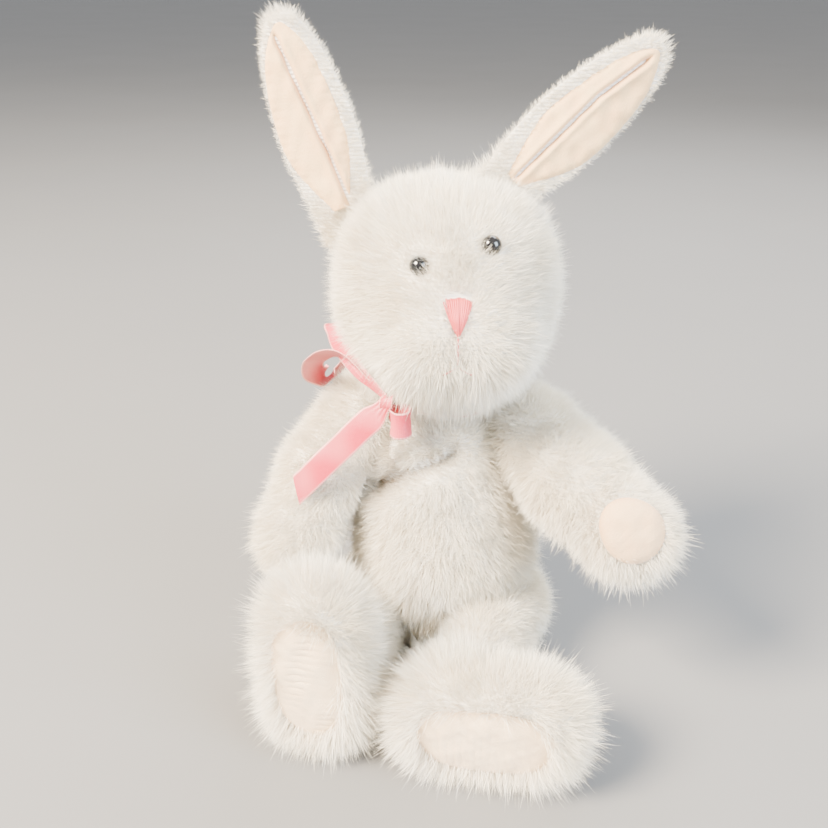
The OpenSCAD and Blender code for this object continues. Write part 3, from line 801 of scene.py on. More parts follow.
# ---------- ears ----------

EAR_FROM, EAR_TO = -0.12, 0.99
EAR_BLUNT, EAR_ROOT_SHARE = 3.4, 0.7
LINING_FROM, LINING_TO = 0.04, 0.95
LINING_OFF = {LEFT: -1.3, RIGHT: 1.5}
FOLD_LINE = {
    LEFT: ((0, 0.3), (0.3, -0.6), (0.6, -1.4), (1, 0.6)),
    RIGHT: ((0, 2.4), (0.3, 1.2), (0.6, -0.6), (1, -2.8)),
}


def ear_half(t):
    """Half an ear's width at t, from its root at 0 to its tip at 1: a blunt round end, and a root
    that widens over the ear's first half."""
    t = np.clip(t, 0, 1)
    root = EAR_ROOT_SHARE + (1 - EAR_ROOT_SHARE) * np.sin(math.pi / 2 * np.minimum(t / 0.5, 1))
    return EAR_W / 2 * np.sqrt(1 - t**EAR_BLUNT) * root



def ear_bend(x, t, side):
    """How far the ear's front lies forward at a place across and along it: cupped edges and a slow
    wave, about a fold down the middle."""
    cup = 0.05 * x * x / (EAR_W / 2) * (0.4 + 0.6 * t)
    wave = 0.5 * np.sin(5.0 * t + side) * (x / 11)
    return -cup - wave


def ear_shell(side, rows=90, columns=56):
    """Closed leaf: at each step along it, an oval round the ear's width, thicker in the middle."""
    t = EAR_FROM + (EAR_TO - EAR_FROM) * (1 - np.cos(np.linspace(0, 1, rows) * math.pi)) / 2
    u = np.arange(columns) / columns * TAU
    half = np.maximum(ear_half(t) - 0.5 * (1 - t**8), 0.0)[:, None]
    half[0], half[-1] = 0, 0
    x = half * np.cos(u)
    thick = 1.15 * np.minimum(1, half / 5)
    y = 1.2 + thick * np.sin(u) * (1 - 0.3 * np.cos(u) ** 2) + ear_bend(x, t[:, None], side)
    z = np.repeat((EAR_LEN * t)[:, None], columns, 1)
    grid = np.stack([x, y, z], -1)
    grid += 0.25 * ripples(grid, 9.0, 50 + side)[..., None] * np.array([0, 1, 0])
    return close_poles(grid.reshape(-1, 3), grid_faces(rows, columns, True), rows, columns)


class Shell:
    """A finished grid, with its outward ways from its faces."""

    def __init__(self, verts, faces):
        self.verts, self.faces = verts, faces
        a, b, c, d = (verts[faces[:, k]] for k in range(4))
        way = np.cross(c - a, d - b)
        total = np.zeros_like(verts)
        for k in range(4):
            np.add.at(total, faces[:, k], way)
        self.normals = unit(total)


def lining_half(t):
    """Half the lining's width: a share of the ear's, blunt at the tip and drawn in at the root."""
    s = np.clip((t - LINING_FROM) / (LINING_TO - LINING_FROM), 0, 1)
    root = 0.35 + 0.65 * np.sin(math.pi / 2 * np.minimum(s / 0.4, 1))
    return 0.8 * ear_half(t) * np.sqrt(1 - s**9) * root


def lining_shift(t, side):
    """How far the lining lies off the ear's middle, towards one edge, halfway up."""
    return LINING_OFF[side] * np.sin(math.pi * np.clip(t, 0, 1)) ** 0.7


def ear_lining(side, rows=120, columns=72):
    """Sheet over the ear's front: a deep fold down the middle, a sewn edge that dips into the pile,
    and small puckers along the seam."""
    t = LINING_FROM + (LINING_TO - LINING_FROM) * np.linspace(0.004, 0.996, rows)[:, None]
    s = np.linspace(-1, 1, columns)[None, :]
    half = lining_half(t)
    x = half * s - lining_shift(t, side)
    line = np.array(FOLD_LINE[side])
    crease = x - np.interp(t, line[:, 0], line[:, 1])
    ends = smooth_step((t - 0.02) / 0.08) * smooth_step((0.93 - t) / 0.08)
    # The fold's profile shapes the sheet's crease and also sets the painted shade down the fold.
    fold_and_painted_shade = np.exp(-np.abs(crease / 0.5) ** 1.4) * ends
    swell = 0.7 * (1 - s**2) * np.minimum(1, half / 4)
    pucker = 0.1 * np.sin(t * 150 + 3 * s) * np.abs(s) ** 4
    y = -0.3 - swell + 2.1 * fold_and_painted_shade + pucker + 0.9 * np.abs(s) ** 10 + ear_bend(x, t, side)
    lips = 0.5 * ends * (bump(crease - 1.4, 1.0) + bump(crease + 1.4, 1.0))
    grid = np.stack([x, y - lips, EAR_LEN * t + 0 * x], -1)
    grid[..., 1] += 0.2 * ripples(grid, 5.0, 60 + side)
    return grid, fold_and_painted_shade


for ear_side, ear_word in SIDES.items():
    shell = Shell(*ear_shell(ear_side))
    ear_body = put_quads(f"ear_plush_{ear_word}", EAR[ear_side].points(shell.verts), shell.faces, BACKING)
    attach(ear_body, "head")
    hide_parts(f"ear_{ear_word}")

    lining_grid, lining_fold_shade = ear_lining(ear_side)
    lining_rows, lining_columns = lining_grid.shape[:2]
    lining_faces = grid_faces(lining_rows, lining_columns, False)
    lining = put_mesh(
        f"ear_velour_{ear_word}", EAR[ear_side].points(lining_grid.reshape(-1, 3)), lining_faces, LINING
    )
    # The fold's profile, for the painted shade down the crease.
    add_value(lining, "fold_and_painted_shade", lining_fold_shade.ravel())
    wall = lining.modifiers.new("wall", "SOLIDIFY")
    wall.thickness, wall.offset = 0.4 * MM, -1.0
    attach(lining, "head")
    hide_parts(f"ear_lining_{ear_word}")

    def ear_weight(p, side=ear_side):
        """Pile on the back and the rim, none under the lining or inside the head."""
        t = p[..., 2] / EAR_LEN
        x = p[..., 0] + lining_shift(t, side)
        front = p[..., 1] < 1.2 + ear_bend(p[..., 0], t, side)
        covered = front & (np.abs(x) < lining_half(t) - 0.25) & (t > LINING_FROM)
        inside = head_field(HEAD.local(EAR[side].points(p))) < -0.6
        return np.where(covered | inside, 0.0, 1.0)

    def ear_length(p, out):
        """Short, but longer at the tip and the root."""
        tip = smooth_step((p[:, 2] / EAR_LEN - 0.86) / 0.14)
        root = smooth_step((0.2 - p[:, 2] / EAR_LEN) / 0.2)
        front = smooth_step(-out[:, 1])
        return (1.6 + 1.1 * tip + 1.6 * root) * (1 - 0.2 * front)

    def ear_comb(p, out):
        """Up the ear and out over its edges."""
        edge = np.sign(p[:, 0]) * smooth_step(np.abs(p[:, 0]) / 9)
        return np.stack([0.3 * edge, 0 * edge, 0.45 + 0 * edge], -1)

    grow_pile(
        f"ear_pile_{ear_word}", shell, EAR[ear_side], "head", length=ear_length, comb=ear_comb,
        weight=ear_weight, per_mm2=19, seed=20 + ear_side, width=0.1, tuft=1.1, gather=0.3,
    )


# ---------- arms ----------


def arm_points(side):
    """Shoulder, elbow and paw centres in the arm's own frame."""
    drop = math.sqrt(ARM_LEN**2 - PAW_CURL[side] ** 2)
    return np.array(
        [[8.8, 0, 0], [10.8 + 0.36 * PAW_CURL[side], 0, -0.5 * drop], [8.8 + PAW_CURL[side], 0, -drop]]
    )


PALM_OUT, PALM_SHIFT = 9.5, 2.4


def palm_way_of(side):
    """The way a palm faces, in the arm's own frame."""
    return spin("z", -62 * side) @ spin("y", 115) @ np.array([0, 0, 1.0])


def palm_axes(side):
    """The palm patch's middle, the way it faces, and the way to the wrist within it."""
    palm_way = palm_way_of(side)
    _, elbow, paw = arm_points(side)
    to_wrist = unit(elbow - paw)
    to_wrist = unit(to_wrist - (to_wrist @ palm_way) * palm_way)
    return paw + palm_way * PALM_OUT + to_wrist * PALM_SHIFT, palm_way, to_wrist


def arm_field(side):
    """The soft field of one arm."""
    a, b, c = arm_points(side)
    palm = palm_way_of(side)

    def field(p):
        """Rounded shoulder, forearm and paw, flat against the body, with a crease at the wrist."""
        f = taper(p, a, b, 11.3, 11.5)
        f = join(f, taper(p, b, c, 11.5, 10.2), 4)
        f = cut(f, 0.9 - p[..., 0], 2.5)
        f = cut(f, (p - c) @ palm - PALM_OUT + 0.1, 3.0)
        wrist = np.abs((p - c) @ unit(c - b) + 9.0)
        f = f + 0.6 * bump(wrist, 1.8)
        return f + 0.4 * ripples(p, 12.0, 43 + side)

    return field


for arm_side, arm_word in SIDES.items():
    spine = arm_points(arm_side)
    skin = Skin(arm_field(arm_side), spine, (1, 0, 0), 40, 120, 96, 0.3)
    arm_body = skin.put(f"arm_plush_{arm_word}", ARM[arm_side], BACKING)
    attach(arm_body, f"arm_{arm_word}")
    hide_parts(f"arm_skin_{arm_word}", f"arm_filling_{arm_word}")

    def on_palm(p, side=arm_side):
        """Place on the palm: how far along its facing way, and how far off its centre."""
        middle, palm_way, to_wrist = palm_axes(side)
        q = p - middle
        deep = q @ palm_way
        off = q - deep[..., None] * palm_way - 0.14 * (q @ to_wrist)[..., None] * to_wrist
        return deep + PALM_OUT, np.linalg.norm(off, axis=-1)

    def arm_weight(p, side=arm_side):
        """No pile under the palm's patch, little on the flat against the body."""
        deep, off = on_palm(p, side)
        flat = p[..., 0] < 1.3
        return np.where((deep > 6) & (off < 6.8), 0.0, np.where(flat, 0.06, 1.0))

    def arm_length(p, out, side=arm_side):
        """Longer at the paw, shorter round the patch and near the flat."""
        deep, off = on_palm(p, side)
        rim = bump(off - 8.0, 2.5) * (deep > 4)
        paw = smooth_step((-p[:, 2] - 24) / 16)
        flat = smooth_step((3.2 - p[:, 0]) / 2.2)
        return (4.4 + 1.6 * paw) * (1 - 0.25 * rim) * (1 - 0.55 * flat)

    def arm_comb(p, out, side=arm_side):
        """Down the arm, from shoulder to paw."""
        down = unit(arm_points(side)[2] - arm_points(side)[0])
        return 0.28 * down + 0 * p

    grow_pile(
        f"arm_pile_{arm_word}", skin, ARM[arm_side], f"arm_{arm_word}", length=arm_length,
        comb=arm_comb, weight=arm_weight, per_mm2=12, seed=30 + arm_side,
    )


# ---------- legs ----------

SOLE_Y = -LEG_LEN - SOLE_IN


def foot_points(side):
    """Heel and toe centres in the leg's own frame."""
    floor = 13.3 - HIP_Z
    if side == LEFT:
        return np.array([[3, -LEG_LEN, floor], [25, -LEG_LEN, 15.2 - HIP_Z]])
    return np.array([[11, -LEG_LEN, floor], [12, -LEG_LEN, floor + 22]])


LEG_TOP = np.array([9.0, 0, 0])


def leg_field(side):
    """The soft field of one leg."""
    heel, toe = foot_points(side)

    def field(p):
        """Round hip and shank, flat against the body, run into a foot with a flat sole and a crease
        at the ankle."""
        f = taper(p, LEG_TOP, heel, 11.0, 10.4)
        f = cut(f, 0.9 - p[..., 0] - 0.1 * np.clip(-20 - p[..., 1], 0, 30), 2.5)
        foot = taper(p, heel, toe, 11.9, 11.5)
        f = join(f, foot, 4)
        f = cut(f, SOLE_Y + 0.6 - p[..., 1], 3.0)
        f = cut(f, 1.6 - HIP_Z - p[..., 2], 2.5)
        ankle = np.abs(p[..., 1] + LEG_LEN - 13.5)
        upper = smooth_step((p[..., 2] - heel[2] + 4) / 8) if side == RIGHT else 1
        f = f + 0.8 * bump(ankle, 2.2) * upper
        return f + 0.4 * ripples(p, 12.0, 45 + side)

    return field


def sole_axes(side):
    """Middle of the sole, the way from heel to toe and the way across it."""
    heel, toe = foot_points(side)
    run = unit(toe - heel)
    middle = (heel + toe) / 2
    return np.array([middle[0], SOLE_Y, middle[2]]), run, np.cross(run, np.array([0, 1.0, 0]))


def off_sole_line(p, side):
    """Distance from the sole's middle line, which runs 8 mm towards heel and toe."""
    middle, run, across = sole_axes(side)
    past_end = np.clip(np.abs((p - middle) @ run) - 8, 0, None)
    return np.hypot(past_end, (p - middle) @ across)


for leg_side, leg_word in SIDES.items():
    heel_at, toe_at = foot_points(leg_side)
    spine = np.array([LEG_TOP, LEG_TOP * 0.5 + heel_at * 0.5, heel_at * 0.6 + toe_at * 0.4])
    skin = Skin(leg_field(leg_side), spine, (0, 0, 1), 45, 170, 110, 0.3)
    leg_body = skin.put(f"leg_plush_{leg_word}", LEG[leg_side], BACKING)
    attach(leg_body, f"leg_{leg_word}")
    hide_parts(f"leg_skin_{leg_word}", f"leg_filling_{leg_word}")

    def leg_weight(p, side=leg_side):
        """No pile under the sole's patch, little on the flat, half of it where the leg lies."""
        sole = (p[..., 1] < SOLE_Y + 2.2) & (off_sole_line(p, side) < 7.6)
        flat = (p[..., 0] < 1.4) & (p[..., 1] > -14)
        under = p[..., 2] < 1.9 - HIP_Z
        return np.where(sole, 0.0, np.where(flat, 0.06, np.where(under, 0.5, 1.0)))

    def leg_length(p, out):
        """Longer over the foot, shorter near the flat and where the leg lies."""
        foot = smooth_step((-p[:, 1] - 34) / 14)
        flat = smooth_step((3.2 - p[:, 0]) / 2.2) * smooth_step((p[:, 1] + 22) / 8)
        under = smooth_step((3.5 - HIP_Z - p[:, 2]) / 2.5)
        return (4.4 + 2.6 * foot) * (1 - 0.55 * flat) * (1 - 0.35 * under)

    def leg_comb(p, out, side=leg_side):
        """Down the shank, and out from the foot's middle line over the foot."""
        middle, _, _ = sole_axes(side)
        foot = smooth_step((-p[:, 1] - 40) / 10)[:, None]
        outward = unit(p - (middle + np.array([0, 8, 0])))
        return (1 - foot) * np.array([0, -0.3, 0]) + foot * (0.35 * outward + np.array([0, -0.12, 0]))

    grow_pile(
        f"leg_pile_{leg_word}", skin, LEG[leg_side], f"leg_{leg_word}", length=leg_length,
        comb=leg_comb, weight=leg_weight, per_mm2=11, seed=35 + leg_side,
        panels=(["shank", "foot"], lambda p: (p[:, 1] < -38).astype(int)), tuft=1.8, gather=0.45,
    )


# ---------- pads ----------


def pad_grid(rings, columns, outline, dome, seed, wrinkle, sink=1.0, pleats=0.0):
    """Patch of velour, from its middle to its sewn edge: crowned, dented, and turned under at the
    edge. outline gives the edge's place for each way round, and pleats is the depth of fine creases
    that run across the patch, wavering."""
    r = np.linspace(0, 1, rings)[:, None] ** 0.8
    u = (np.arange(columns) / columns * TAU)[None, :]
    x, y = outline(u)
    a, b = r * x, r * y
    flat = np.stack([a, b, 0 * a], -1)
    rough = ripples(flat, 6.0, seed) * 0.5 + ripples(flat, 3.2, seed + 1) * 0.2
    waver = 1.6 * ripples(flat * 0.5, 7.0, seed + 2) + 0.5 * ripples(flat, 3.0, seed + 3)
    crease = np.clip(np.sin(TAU * a / 1.9 + waver), 0, 1) ** 2
    where = smooth_step(0.55 + 0.6 * ripples(flat * np.array([0.6, 1, 1]), 9.0, seed + 4))
    height = dome * (1 - r**2.4) + wrinkle * rough - pleats * crease * where
    height = height * (1 - r**8) - sink * r**10
    # Painted shade: darker in the pleats' creases and towards the edge, where the patch turns under into
    # the pile.
    fold_and_painted_shade = crease * where * (1 - r**6) * min(1.0, 2 * pleats) * 0.5 + 0.5 * r**14
    return np.stack([a, b, height], -1), fold_and_painted_shade


def put_pad(name, grid, fold_and_painted_shade, place, material):
    """The patch as a thin piece, its first ring drawn to one point."""
    rings, columns = grid.shape[:2]
    faces = grid_faces(rings, columns, True)
    keep = np.arange(rings * columns)
    keep[:columns] = 0
    used, index = np.unique(keep, return_inverse=True)
    verts = place.points(grid.reshape(-1, 3)[used])
    faces = index[faces]
    if np.linalg.det(place.turn) < 0:
        faces = faces[:, ::-1]
    made = put_quads(name, verts, faces, material)
    add_value(made, "fold_and_painted_shade", fold_and_painted_shade.ravel()[used])
    wall = made.modifiers.new("wall", "SOLIDIFY")
    wall.thickness, wall.offset = 0.5 * MM, -1.0
    return made


def long_oval(u):
    """Outline of two half rounds a step apart, run into one another by a hyperbolic tangent."""
    r = 8.9 + 0.3 * np.cos(u) + 0.25 * np.sin(3 * u)
    return r * np.cos(u) + 8.6 * np.tanh(2.6 * np.cos(u)), r * np.sin(u)


def round_palm(u):
    """Outline of the palm: a round drawn to a blunt point towards the wrist."""
    r = 7.9 + 1.5 * np.clip(np.cos(u), 0, 1) ** 3 - 0.2 * np.cos(2 * u)
    return 1.04 * r * np.cos(u), 0.96 * r * np.sin(u)


SOLE_PLEATS = {LEFT: 0.12, RIGHT: 0.22}

for pad_side, pad_word in SIDES.items():
    sole_mid, sole_run, sole_across = sole_axes(pad_side)
    sole_place = LEG[pad_side] @ Place(
        np.stack([sole_run, sole_across, np.cross(sole_run, sole_across)], -1),
        sole_mid + np.array([0, 0.2, -0.6]),
    )
    if (sole_place.turn @ np.array([0, 0, 1.0]))[1] > 0:
        sole_place = sole_place @ Place(np.diag([1, -1, -1]))
    sole_shape, sole_painted_shade = pad_grid(
        44, 180, long_oval, 1.0, 70 + pad_side, 0.5, pleats=SOLE_PLEATS[pad_side]
    )
    sole = put_pad(f"sole_velour_{pad_word}", sole_shape, sole_painted_shade, sole_place, PAD_CREAM)
    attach(sole, f"leg_{pad_word}")
    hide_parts(f"sole_pad_{pad_word}")

    palm_mid, palm_way, wrist_way = palm_axes(pad_side)
    palm_place = ARM[pad_side] @ Place(
        np.stack([wrist_way, np.cross(palm_way, wrist_way), palm_way], -1), palm_mid
    )
    palm_shape, palm_painted_shade = pad_grid(24, 80, round_palm, 1.2, 80 + pad_side, 0.3, pleats=0.05)
    palm = put_pad(f"paw_velour_{pad_word}", palm_shape, palm_painted_shade, palm_place, PAD_PEACH)
    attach(palm, f"arm_{pad_word}")
    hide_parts(f"paw_pad_{pad_word}")


# ---------- tail ----------


def tail_field(p):
    """A ball with a little unevenness."""
    return ball(p, (0, 26.8, 12), 7.6) + 0.3 * ripples(p, 6.0, 90)


tail_skin = Skin(tail_field, [(0, 25, 12), (0, 28, 12)], (1, 0, 0), 20, 40, 40, 0.45)
tail_body = tail_skin.put("tail_plush", TORSO, BACKING)
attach(tail_body, "torso")
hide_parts("tail_pompon")
grow_pile(
    "tail_pile", tail_skin, TORSO, "torso", length=lambda p, n: 3.6 + 0 * p[:, 0],
    comb=lambda p, n: np.array([0, 0.1, -0.2]) + 0 * p,
    weight=lambda p: np.where(p[..., 1] > 23, 1.0, 0.0), per_mm2=12, seed=15,
)


# ---------- nose and mouth ----------


def thread_tube(line, r, sides=6):
    """Round tube along a line of points: a ring across the line at each point, closed at its ends."""
    line = np.asarray(line, float)
    run = unit(np.gradient(line, axis=0))
    across = unit(np.cross(run, np.array([0.3, 1.0, 0.2])))
    other = np.cross(run, across)
    u = np.arange(sides) / sides * TAU
    r = np.asarray(r, float).reshape(-1, 1, 1)
    round_it = np.cos(u)[:, None] * across[:, None] + np.sin(u)[:, None] * other[:, None]
    rings = line[:, None] + r * round_it
    ends = np.stack([np.repeat(line[:1], sides, 0), *rings, np.repeat(line[-1:], sides, 0)])
    rows = len(ends)
    return close_poles(ends.reshape(-1, 3), grid_faces(rows, sides, True), rows, sides)


def put_threads(name, tubes, replaced):
    """Tubes joined to one piece on the head."""
    verts, faces, done = [], [], 0
    for v, f in tubes:
        verts.append(v)
        faces.append(f + done)
        done += len(v)
    made = put_quads(name, HEAD.points(np.concatenate(verts)), np.concatenate(faces), THREAD)
    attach(made, "head")
    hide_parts(replaced)


def face_surface(x, z):
    """The face's front at a place across and up, found by halving along the y axis."""
    x, z = np.broadcast_arrays(np.asarray(x, float), np.asarray(z, float))
    out, into = np.full(x.shape, -45.0), np.full(x.shape, -15.0)
    for _ in range(24):
        y = (out + into) / 2
        inside = head_field(np.stack([x, y, z], -1)) < 0
        out, into = np.where(inside, out, y), np.where(inside, y, into)
    return (out + into) / 2


NOSE_X, NOSE_TOP, NOSE_LOW = 0.5, 115.9, 107.2
NOSE_HALF_TOP, NOSE_HALF_LOW = 3.5, 0.55
STITCHES = 13
nose_tubes = []
nose_rng = np.random.default_rng(99)
for k in range(STITCHES):
    s = (k + 0.5) / STITCHES * 2 - 1
    top_x, low_x = NOSE_X + NOSE_HALF_TOP * s, NOSE_X + NOSE_HALF_LOW * s
    top_z = NOSE_TOP - 0.5 * s**2 - 0.9 * s**8 + nose_rng.uniform(-0.2, 0.2)
    low_z = NOSE_LOW + 1.1 * abs(s) + nose_rng.uniform(-0.25, 0.25)
    h = np.linspace(0, 1, 14)
    x = top_x + (low_x - top_x) * h**1.15
    z = top_z + (low_z - top_z) * h
    swell = 1.5 * np.sin(math.pi * np.clip(h * 0.92 + 0.04, 0, 1)) ** 0.5 * (1 - 0.45 * s**2)
    y = face_surface(x, z) - 0.2 - swell + nose_rng.uniform(-0.16, 0.16)
    nose_tubes.append(thread_tube(np.stack([x, y, z], -1), 0.3 - 0.11 * h))
put_threads("nose_stitches", nose_tubes, "nose_stitching")

FORK_Z, FORK_HALF, FORK_DROP = 99.8, 3.4, 1.9
THREAD_R = 0.24
fork_out = np.linspace(0, FORK_HALF, 10)
fork_z = FORK_Z - FORK_DROP * np.linspace(0, 1, 10) ** 0.8
mouth_tubes = []
for line_x, line_z in (
    (np.full(12, NOSE_X), np.linspace(NOSE_LOW, FORK_Z - 0.2, 12)),
    (NOSE_X + fork_out, fork_z),
    (NOSE_X - fork_out, fork_z),
):
    y = face_surface(line_x, line_z) - 1.2
    mouth_line = np.stack([line_x, y, line_z], -1)
    mouth_tubes.append(thread_tube(mouth_line, np.full(len(line_x), THREAD_R)))
put_threads("mouth_stitches", mouth_tubes, "mouth_stitching")


# ---------- ribbon ----------


def smooth_line(points, count):
    """Evenly spaced points on a smooth curve through the given ones, by Catmull and Rom's rule."""
    p = np.asarray(points, float)
    p = np.concatenate([2 * p[:1] - p[1:2], p, 2 * p[-1:] - p[-2:-1]])
    t = np.linspace(0, len(p) - 3, 40 * len(p), endpoint=True)
    i = np.minimum(t.astype(int), len(p) - 4)
    s = (t - i)[:, None]
    a, b, c, d = p[i], p[i + 1], p[i + 2], p[i + 3]
    square, cube = 2 * a - 5 * b + 4 * c - d, 3 * b - a - 3 * c + d
    line = 0.5 * (2 * b + (c - a) * s + square * s**2 + cube * s**3)
    runs = np.concatenate([[0], np.cumsum(np.linalg.norm(np.diff(line, axis=0), axis=1))])
    at = np.linspace(0, runs[-1], count)
    return np.stack([np.interp(at, runs, line[:, k]) for k in range(3)], -1), at


def knot_squeeze(least, share, both_ends=True):
    """How a strip narrows towards a knot: from that least part of its width, over that share of its
    length, at its start or at both ends."""

    def squeeze(t):
        """The part of the full width at t."""
        from_knot = np.minimum(t, 1 - t) if both_ends else t
        return least + (1 - least) * smooth_step(from_knot / share)

    return squeeze


def ribbon(
    name, points, across, width, replaced, *, count=90, columns=15, cup=0.25, slant=0.0, squeeze=None
):
    """Strip of satin carried along a curve. across gives its width's way at each given point, in
    between it turns evenly. cup bows it over its width, slant cuts its end at an angle, and squeeze
    narrows it into a knot. Sine waves lift it: along it everywhere, and over its width where it is
    squeezed."""
    line, run = smooth_line(points, count)
    side, _ = smooth_line(across, count)
    tangent = unit(np.gradient(line, axis=0))
    side = unit(side - (side * tangent).sum(1, keepdims=True) * tangent)
    up = np.cross(tangent, side)
    s = np.linspace(-0.5, 0.5, columns)[None, :, None]
    share = np.linspace(0, 1, count)
    w = (width * (np.ones(count) if squeeze is None else squeeze(share)))[:, None, None]
    grid = line[:, None] + w * s * side[:, None]
    grid = grid + (cup * (1 - 4 * s**2)) * up[:, None]
    if slant:
        late = smooth_step((share - 0.8) / 0.2)[:, None, None]
        grid = grid + late * slant * s * tangent[:, None]
    pleats = 0.16 * np.sin(s * 26) * (1 - w / width) * 2
    waves = 0.22 * np.sin(run[:, None, None] / 2.4 + 1.5 * s)
    grid = grid + (pleats + waves) * up[:, None]
    faces = grid_faces(count, columns, False)
    made = put_mesh(name, grid.reshape(-1, 3), faces, SATIN)
    uv = np.stack(np.broadcast_arrays(s[..., 0] + 0.5, (run * MM)[:, None]), -1).reshape(-1, 2)
    add_uv(made, uv, faces)
    wall = made.modifiers.new("wall", "SOLIDIFY")
    wall.thickness, wall.offset = 0.22 * MM, 0.0
    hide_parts(replaced)
    return made


BAND_R, BAND_Z, BAND_W = 12.3, 77.4, 3.0
turn = np.linspace(0, TAU, 25)
band_line = np.stack([BAND_R * np.cos(turn), BAND_R * np.sin(turn), BAND_Z + 0.3 * np.sin(3 * turn)], -1)
upright = np.tile([0, 0, 1.0], (len(turn), 1))
band = ribbon("ribbon_round_neck", band_line, upright, BAND_W, "neck_band", count=140)
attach(band, "torso")

BOW = np.array([-10.8, -21.6, 83.4])
over_shoulder = [
    (BOW + (-0.6, 0.4, 0.6), (0.3, -0.5, 0.8)),
    ((-16.4, -19.6, 86.6), (0.25, -0.4, 0.85)),
    ((-21.0, -18.0, 90.4), (0.3, -0.5, 0.8)),
    ((-26.0, -16.2, 92.6), (0.2, -0.65, 0.7)),
    ((-31.2, -13.4, 91.4), (0.0, -0.75, 0.6)),
    ((-35.4, -9.6, 87.4), (-0.3, -0.8, 0.4)),
    ((-37.6, -4.0, 81.8), (-0.5, -0.8, 0.1)),
    ((-35.6, 3.4, 78.4), (-0.4, -0.9, 0.2)),
    ((-31.8, 7.6, 82.0), (0.1, -0.9, 0.4)),
    ((-30.6, 4.6, 90.0), (0.5, -0.7, 0.4)),
    ((-30.8, -4.0, 97.2), (0.75, -0.4, 0.45)),
    ((-26.6, -12.4, 95.0), (0.8, -0.2, 0.55)),
    ((-19.0, -19.0, 89.4), (0.7, -0.1, 0.65)),
    (BOW + (-0.4, -0.6, 0.9), (0.3, -0.4, 0.8)),
]
upper = ribbon(
    "ribbon_upper_loop", [at for at, _ in over_shoulder], [way for _, way in over_shoulder],
    6.8, "bow_loop_upper", squeeze=knot_squeeze(0.4, 0.22), cup=0.2, count=150,
)
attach(upper, "torso")

curl = np.array([
    BOW + (0.2, -0.8, -2.6),
    (-9.5, -24.2, 80.0),
    (-9.3, -26.6, 79.7),
    (-7.4, -28.2, 79.5),
    (-5.1, -27.3, 79.5),
    (-4.3, -25.0, 79.7),
    (-5.4, -22.8, 80.0),
    (-7.8, -21.9, 80.4),
    BOW + (0.6, -0.4, -2.4),
])
lower = ribbon(
    "ribbon_lower_loop", curl, np.tile([0.06, -0.12, -1.0], (len(curl), 1)),
    6.9, "bow_loop_lower", squeeze=knot_squeeze(0.6, 0.16), cup=0.1,
)
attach(lower, "torso")

tail_points = [
    BOW + (-0.8, -1.4, -0.2),
    (-13.8, -24.6, 80.4),
    (-17.3, -25.0, 76.8),
    (-21.6, -26.4, 72.2),
    (-26.1, -26.0, 67.2),
    (-31.0, -26.9, 61.8),
    (-36.2, -26.2, 56.0),
]
tail_ribbon = ribbon(
    "ribbon_tail", tail_points, [(-0.5, 0.3, 0.9)] * 3 + [(-0.55, 0.2, 0.85)] * 4, 7.2, "bow_tail",
    squeeze=knot_squeeze(0.5, 0.16, both_ends=False), slant=-5.0, cup=-0.2, count=120,
)
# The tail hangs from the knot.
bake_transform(tail_ribbon)

knot_u = np.linspace(0, TAU * 1.04, 21)
knot_line = BOW + np.stack(
    [0.4 * np.cos(knot_u), -0.4 + 2.0 * np.cos(knot_u), 2.4 * np.sin(knot_u) - 0.6], -1
)
knot_across = np.tile([1, -0.1, 0.25], (len(knot_u), 1))
knot = ribbon("ribbon_knot", knot_line, knot_across, 3.6, "bow_knot", count=80, cup=-0.4)
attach(knot, "torso")


# ---------- carried-over hard parts ----------

for node_name, cad_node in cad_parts.items():
    if cad_node.hide_render:
        continue
    bead = node_name in ("eye_left", "eye_right")
    cad_node.data.materials.clear()
    cad_node.data.materials.append(BEAD if bead else NYLON)


# ---------- floor, lights and camera ----------

FLOOR_R, FLOOR_Z = 7000, -0.02
FLOOR_RINGS, FLOOR_SPOKES = 30, 64


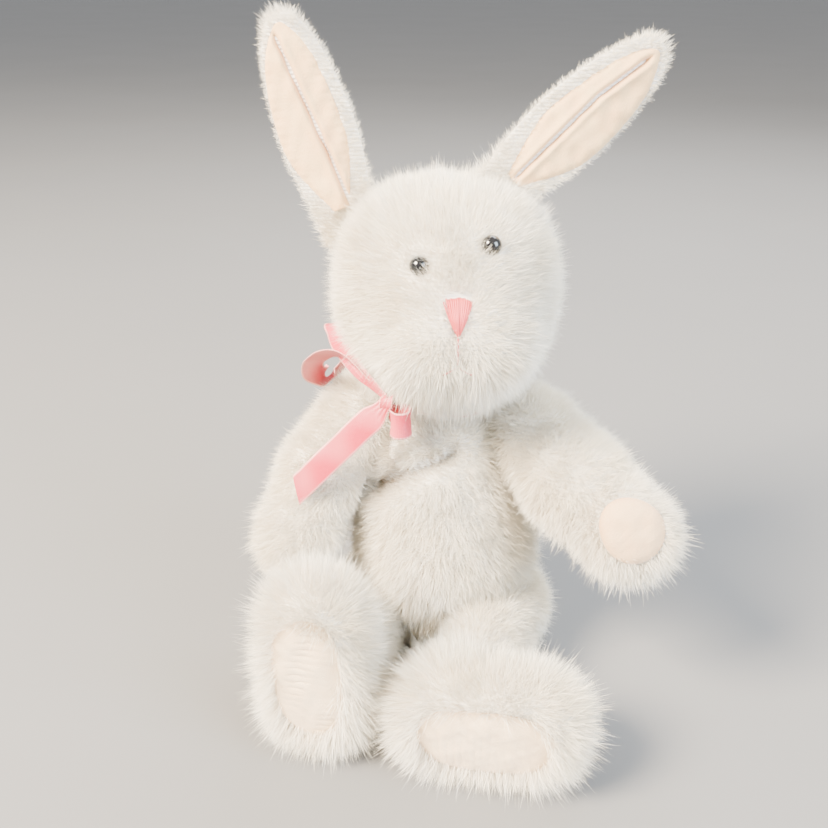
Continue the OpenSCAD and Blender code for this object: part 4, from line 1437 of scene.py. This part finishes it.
def floor_disc():
    """Round sheet on a grid of rings and spokes, its first ring drawn to one point."""
    r = np.linspace(0, FLOOR_R, FLOOR_RINGS)[:, None]
    u = (np.arange(FLOOR_SPOKES) / FLOOR_SPOKES * TAU)[None, :]
    grid = np.stack([r * np.cos(u), r * np.sin(u), 0 * r * u + FLOOR_Z], -1).reshape(-1, 3)
    faces = grid_faces(FLOOR_RINGS, FLOOR_SPOKES, True)
    doubles = FLOOR_SPOKES - 1
    return put_quads("floor", grid[doubles:], np.maximum(faces - doubles, 0), floor_material())


floor_disc()


def soft_light(name, at, size, power, colour):
    """Square softbox that faces the toy's middle."""
    data = bpy.data.lights.new(name, "AREA")
    data.shape, data.size, data.energy, data.color = "SQUARE", size, power, colour
    made = bpy.data.objects.new(name, data)
    made.location = at
    aim = np.array([0, -0.015, 0.08]) - np.array(at)
    made.rotation_mode = "QUATERNION"
    made.rotation_quaternion = Vector(aim).to_track_quat("-Z", "Y")
    bpy.context.scene.collection.objects.link(made)


soft_light("key_warm", (-0.55, -0.55, 0.75), 0.4, 96.0, (1.0, 0.85, 0.66))
soft_light("fill_cool", (0.75, -0.35, 0.45), 0.6, 26.0, (0.76, 0.87, 1.0))
soft_light("back_top", (0.1, 0.6, 0.7), 0.6, 14.0, (1.0, 1.0, 1.0))

world = bpy.data.worlds.new("studio")
world.use_nodes = True
world.node_tree.nodes["Background"].inputs["Color"].default_value = (0.92, 0.94, 0.97, 1)
world.node_tree.nodes["Background"].inputs["Strength"].default_value = 1.15
bpy.context.scene.world = world

# The camera looks down on the toy from in front and a little to its left.
camera_data = bpy.data.cameras.new("camera")
camera_data.lens, camera_data.sensor_width = 44.35, 36.0
camera_data.clip_start, camera_data.clip_end = 0.01, 50.0
camera = bpy.data.objects.new("camera", camera_data)
camera.location = (0.0544, -0.2565, 0.1908)
camera.rotation_euler = (math.radians(65.5), 0.0, math.radians(14.0))
bpy.context.scene.collection.objects.link(camera)
bpy.context.scene.camera = camera

bpy.context.view_layer.update()
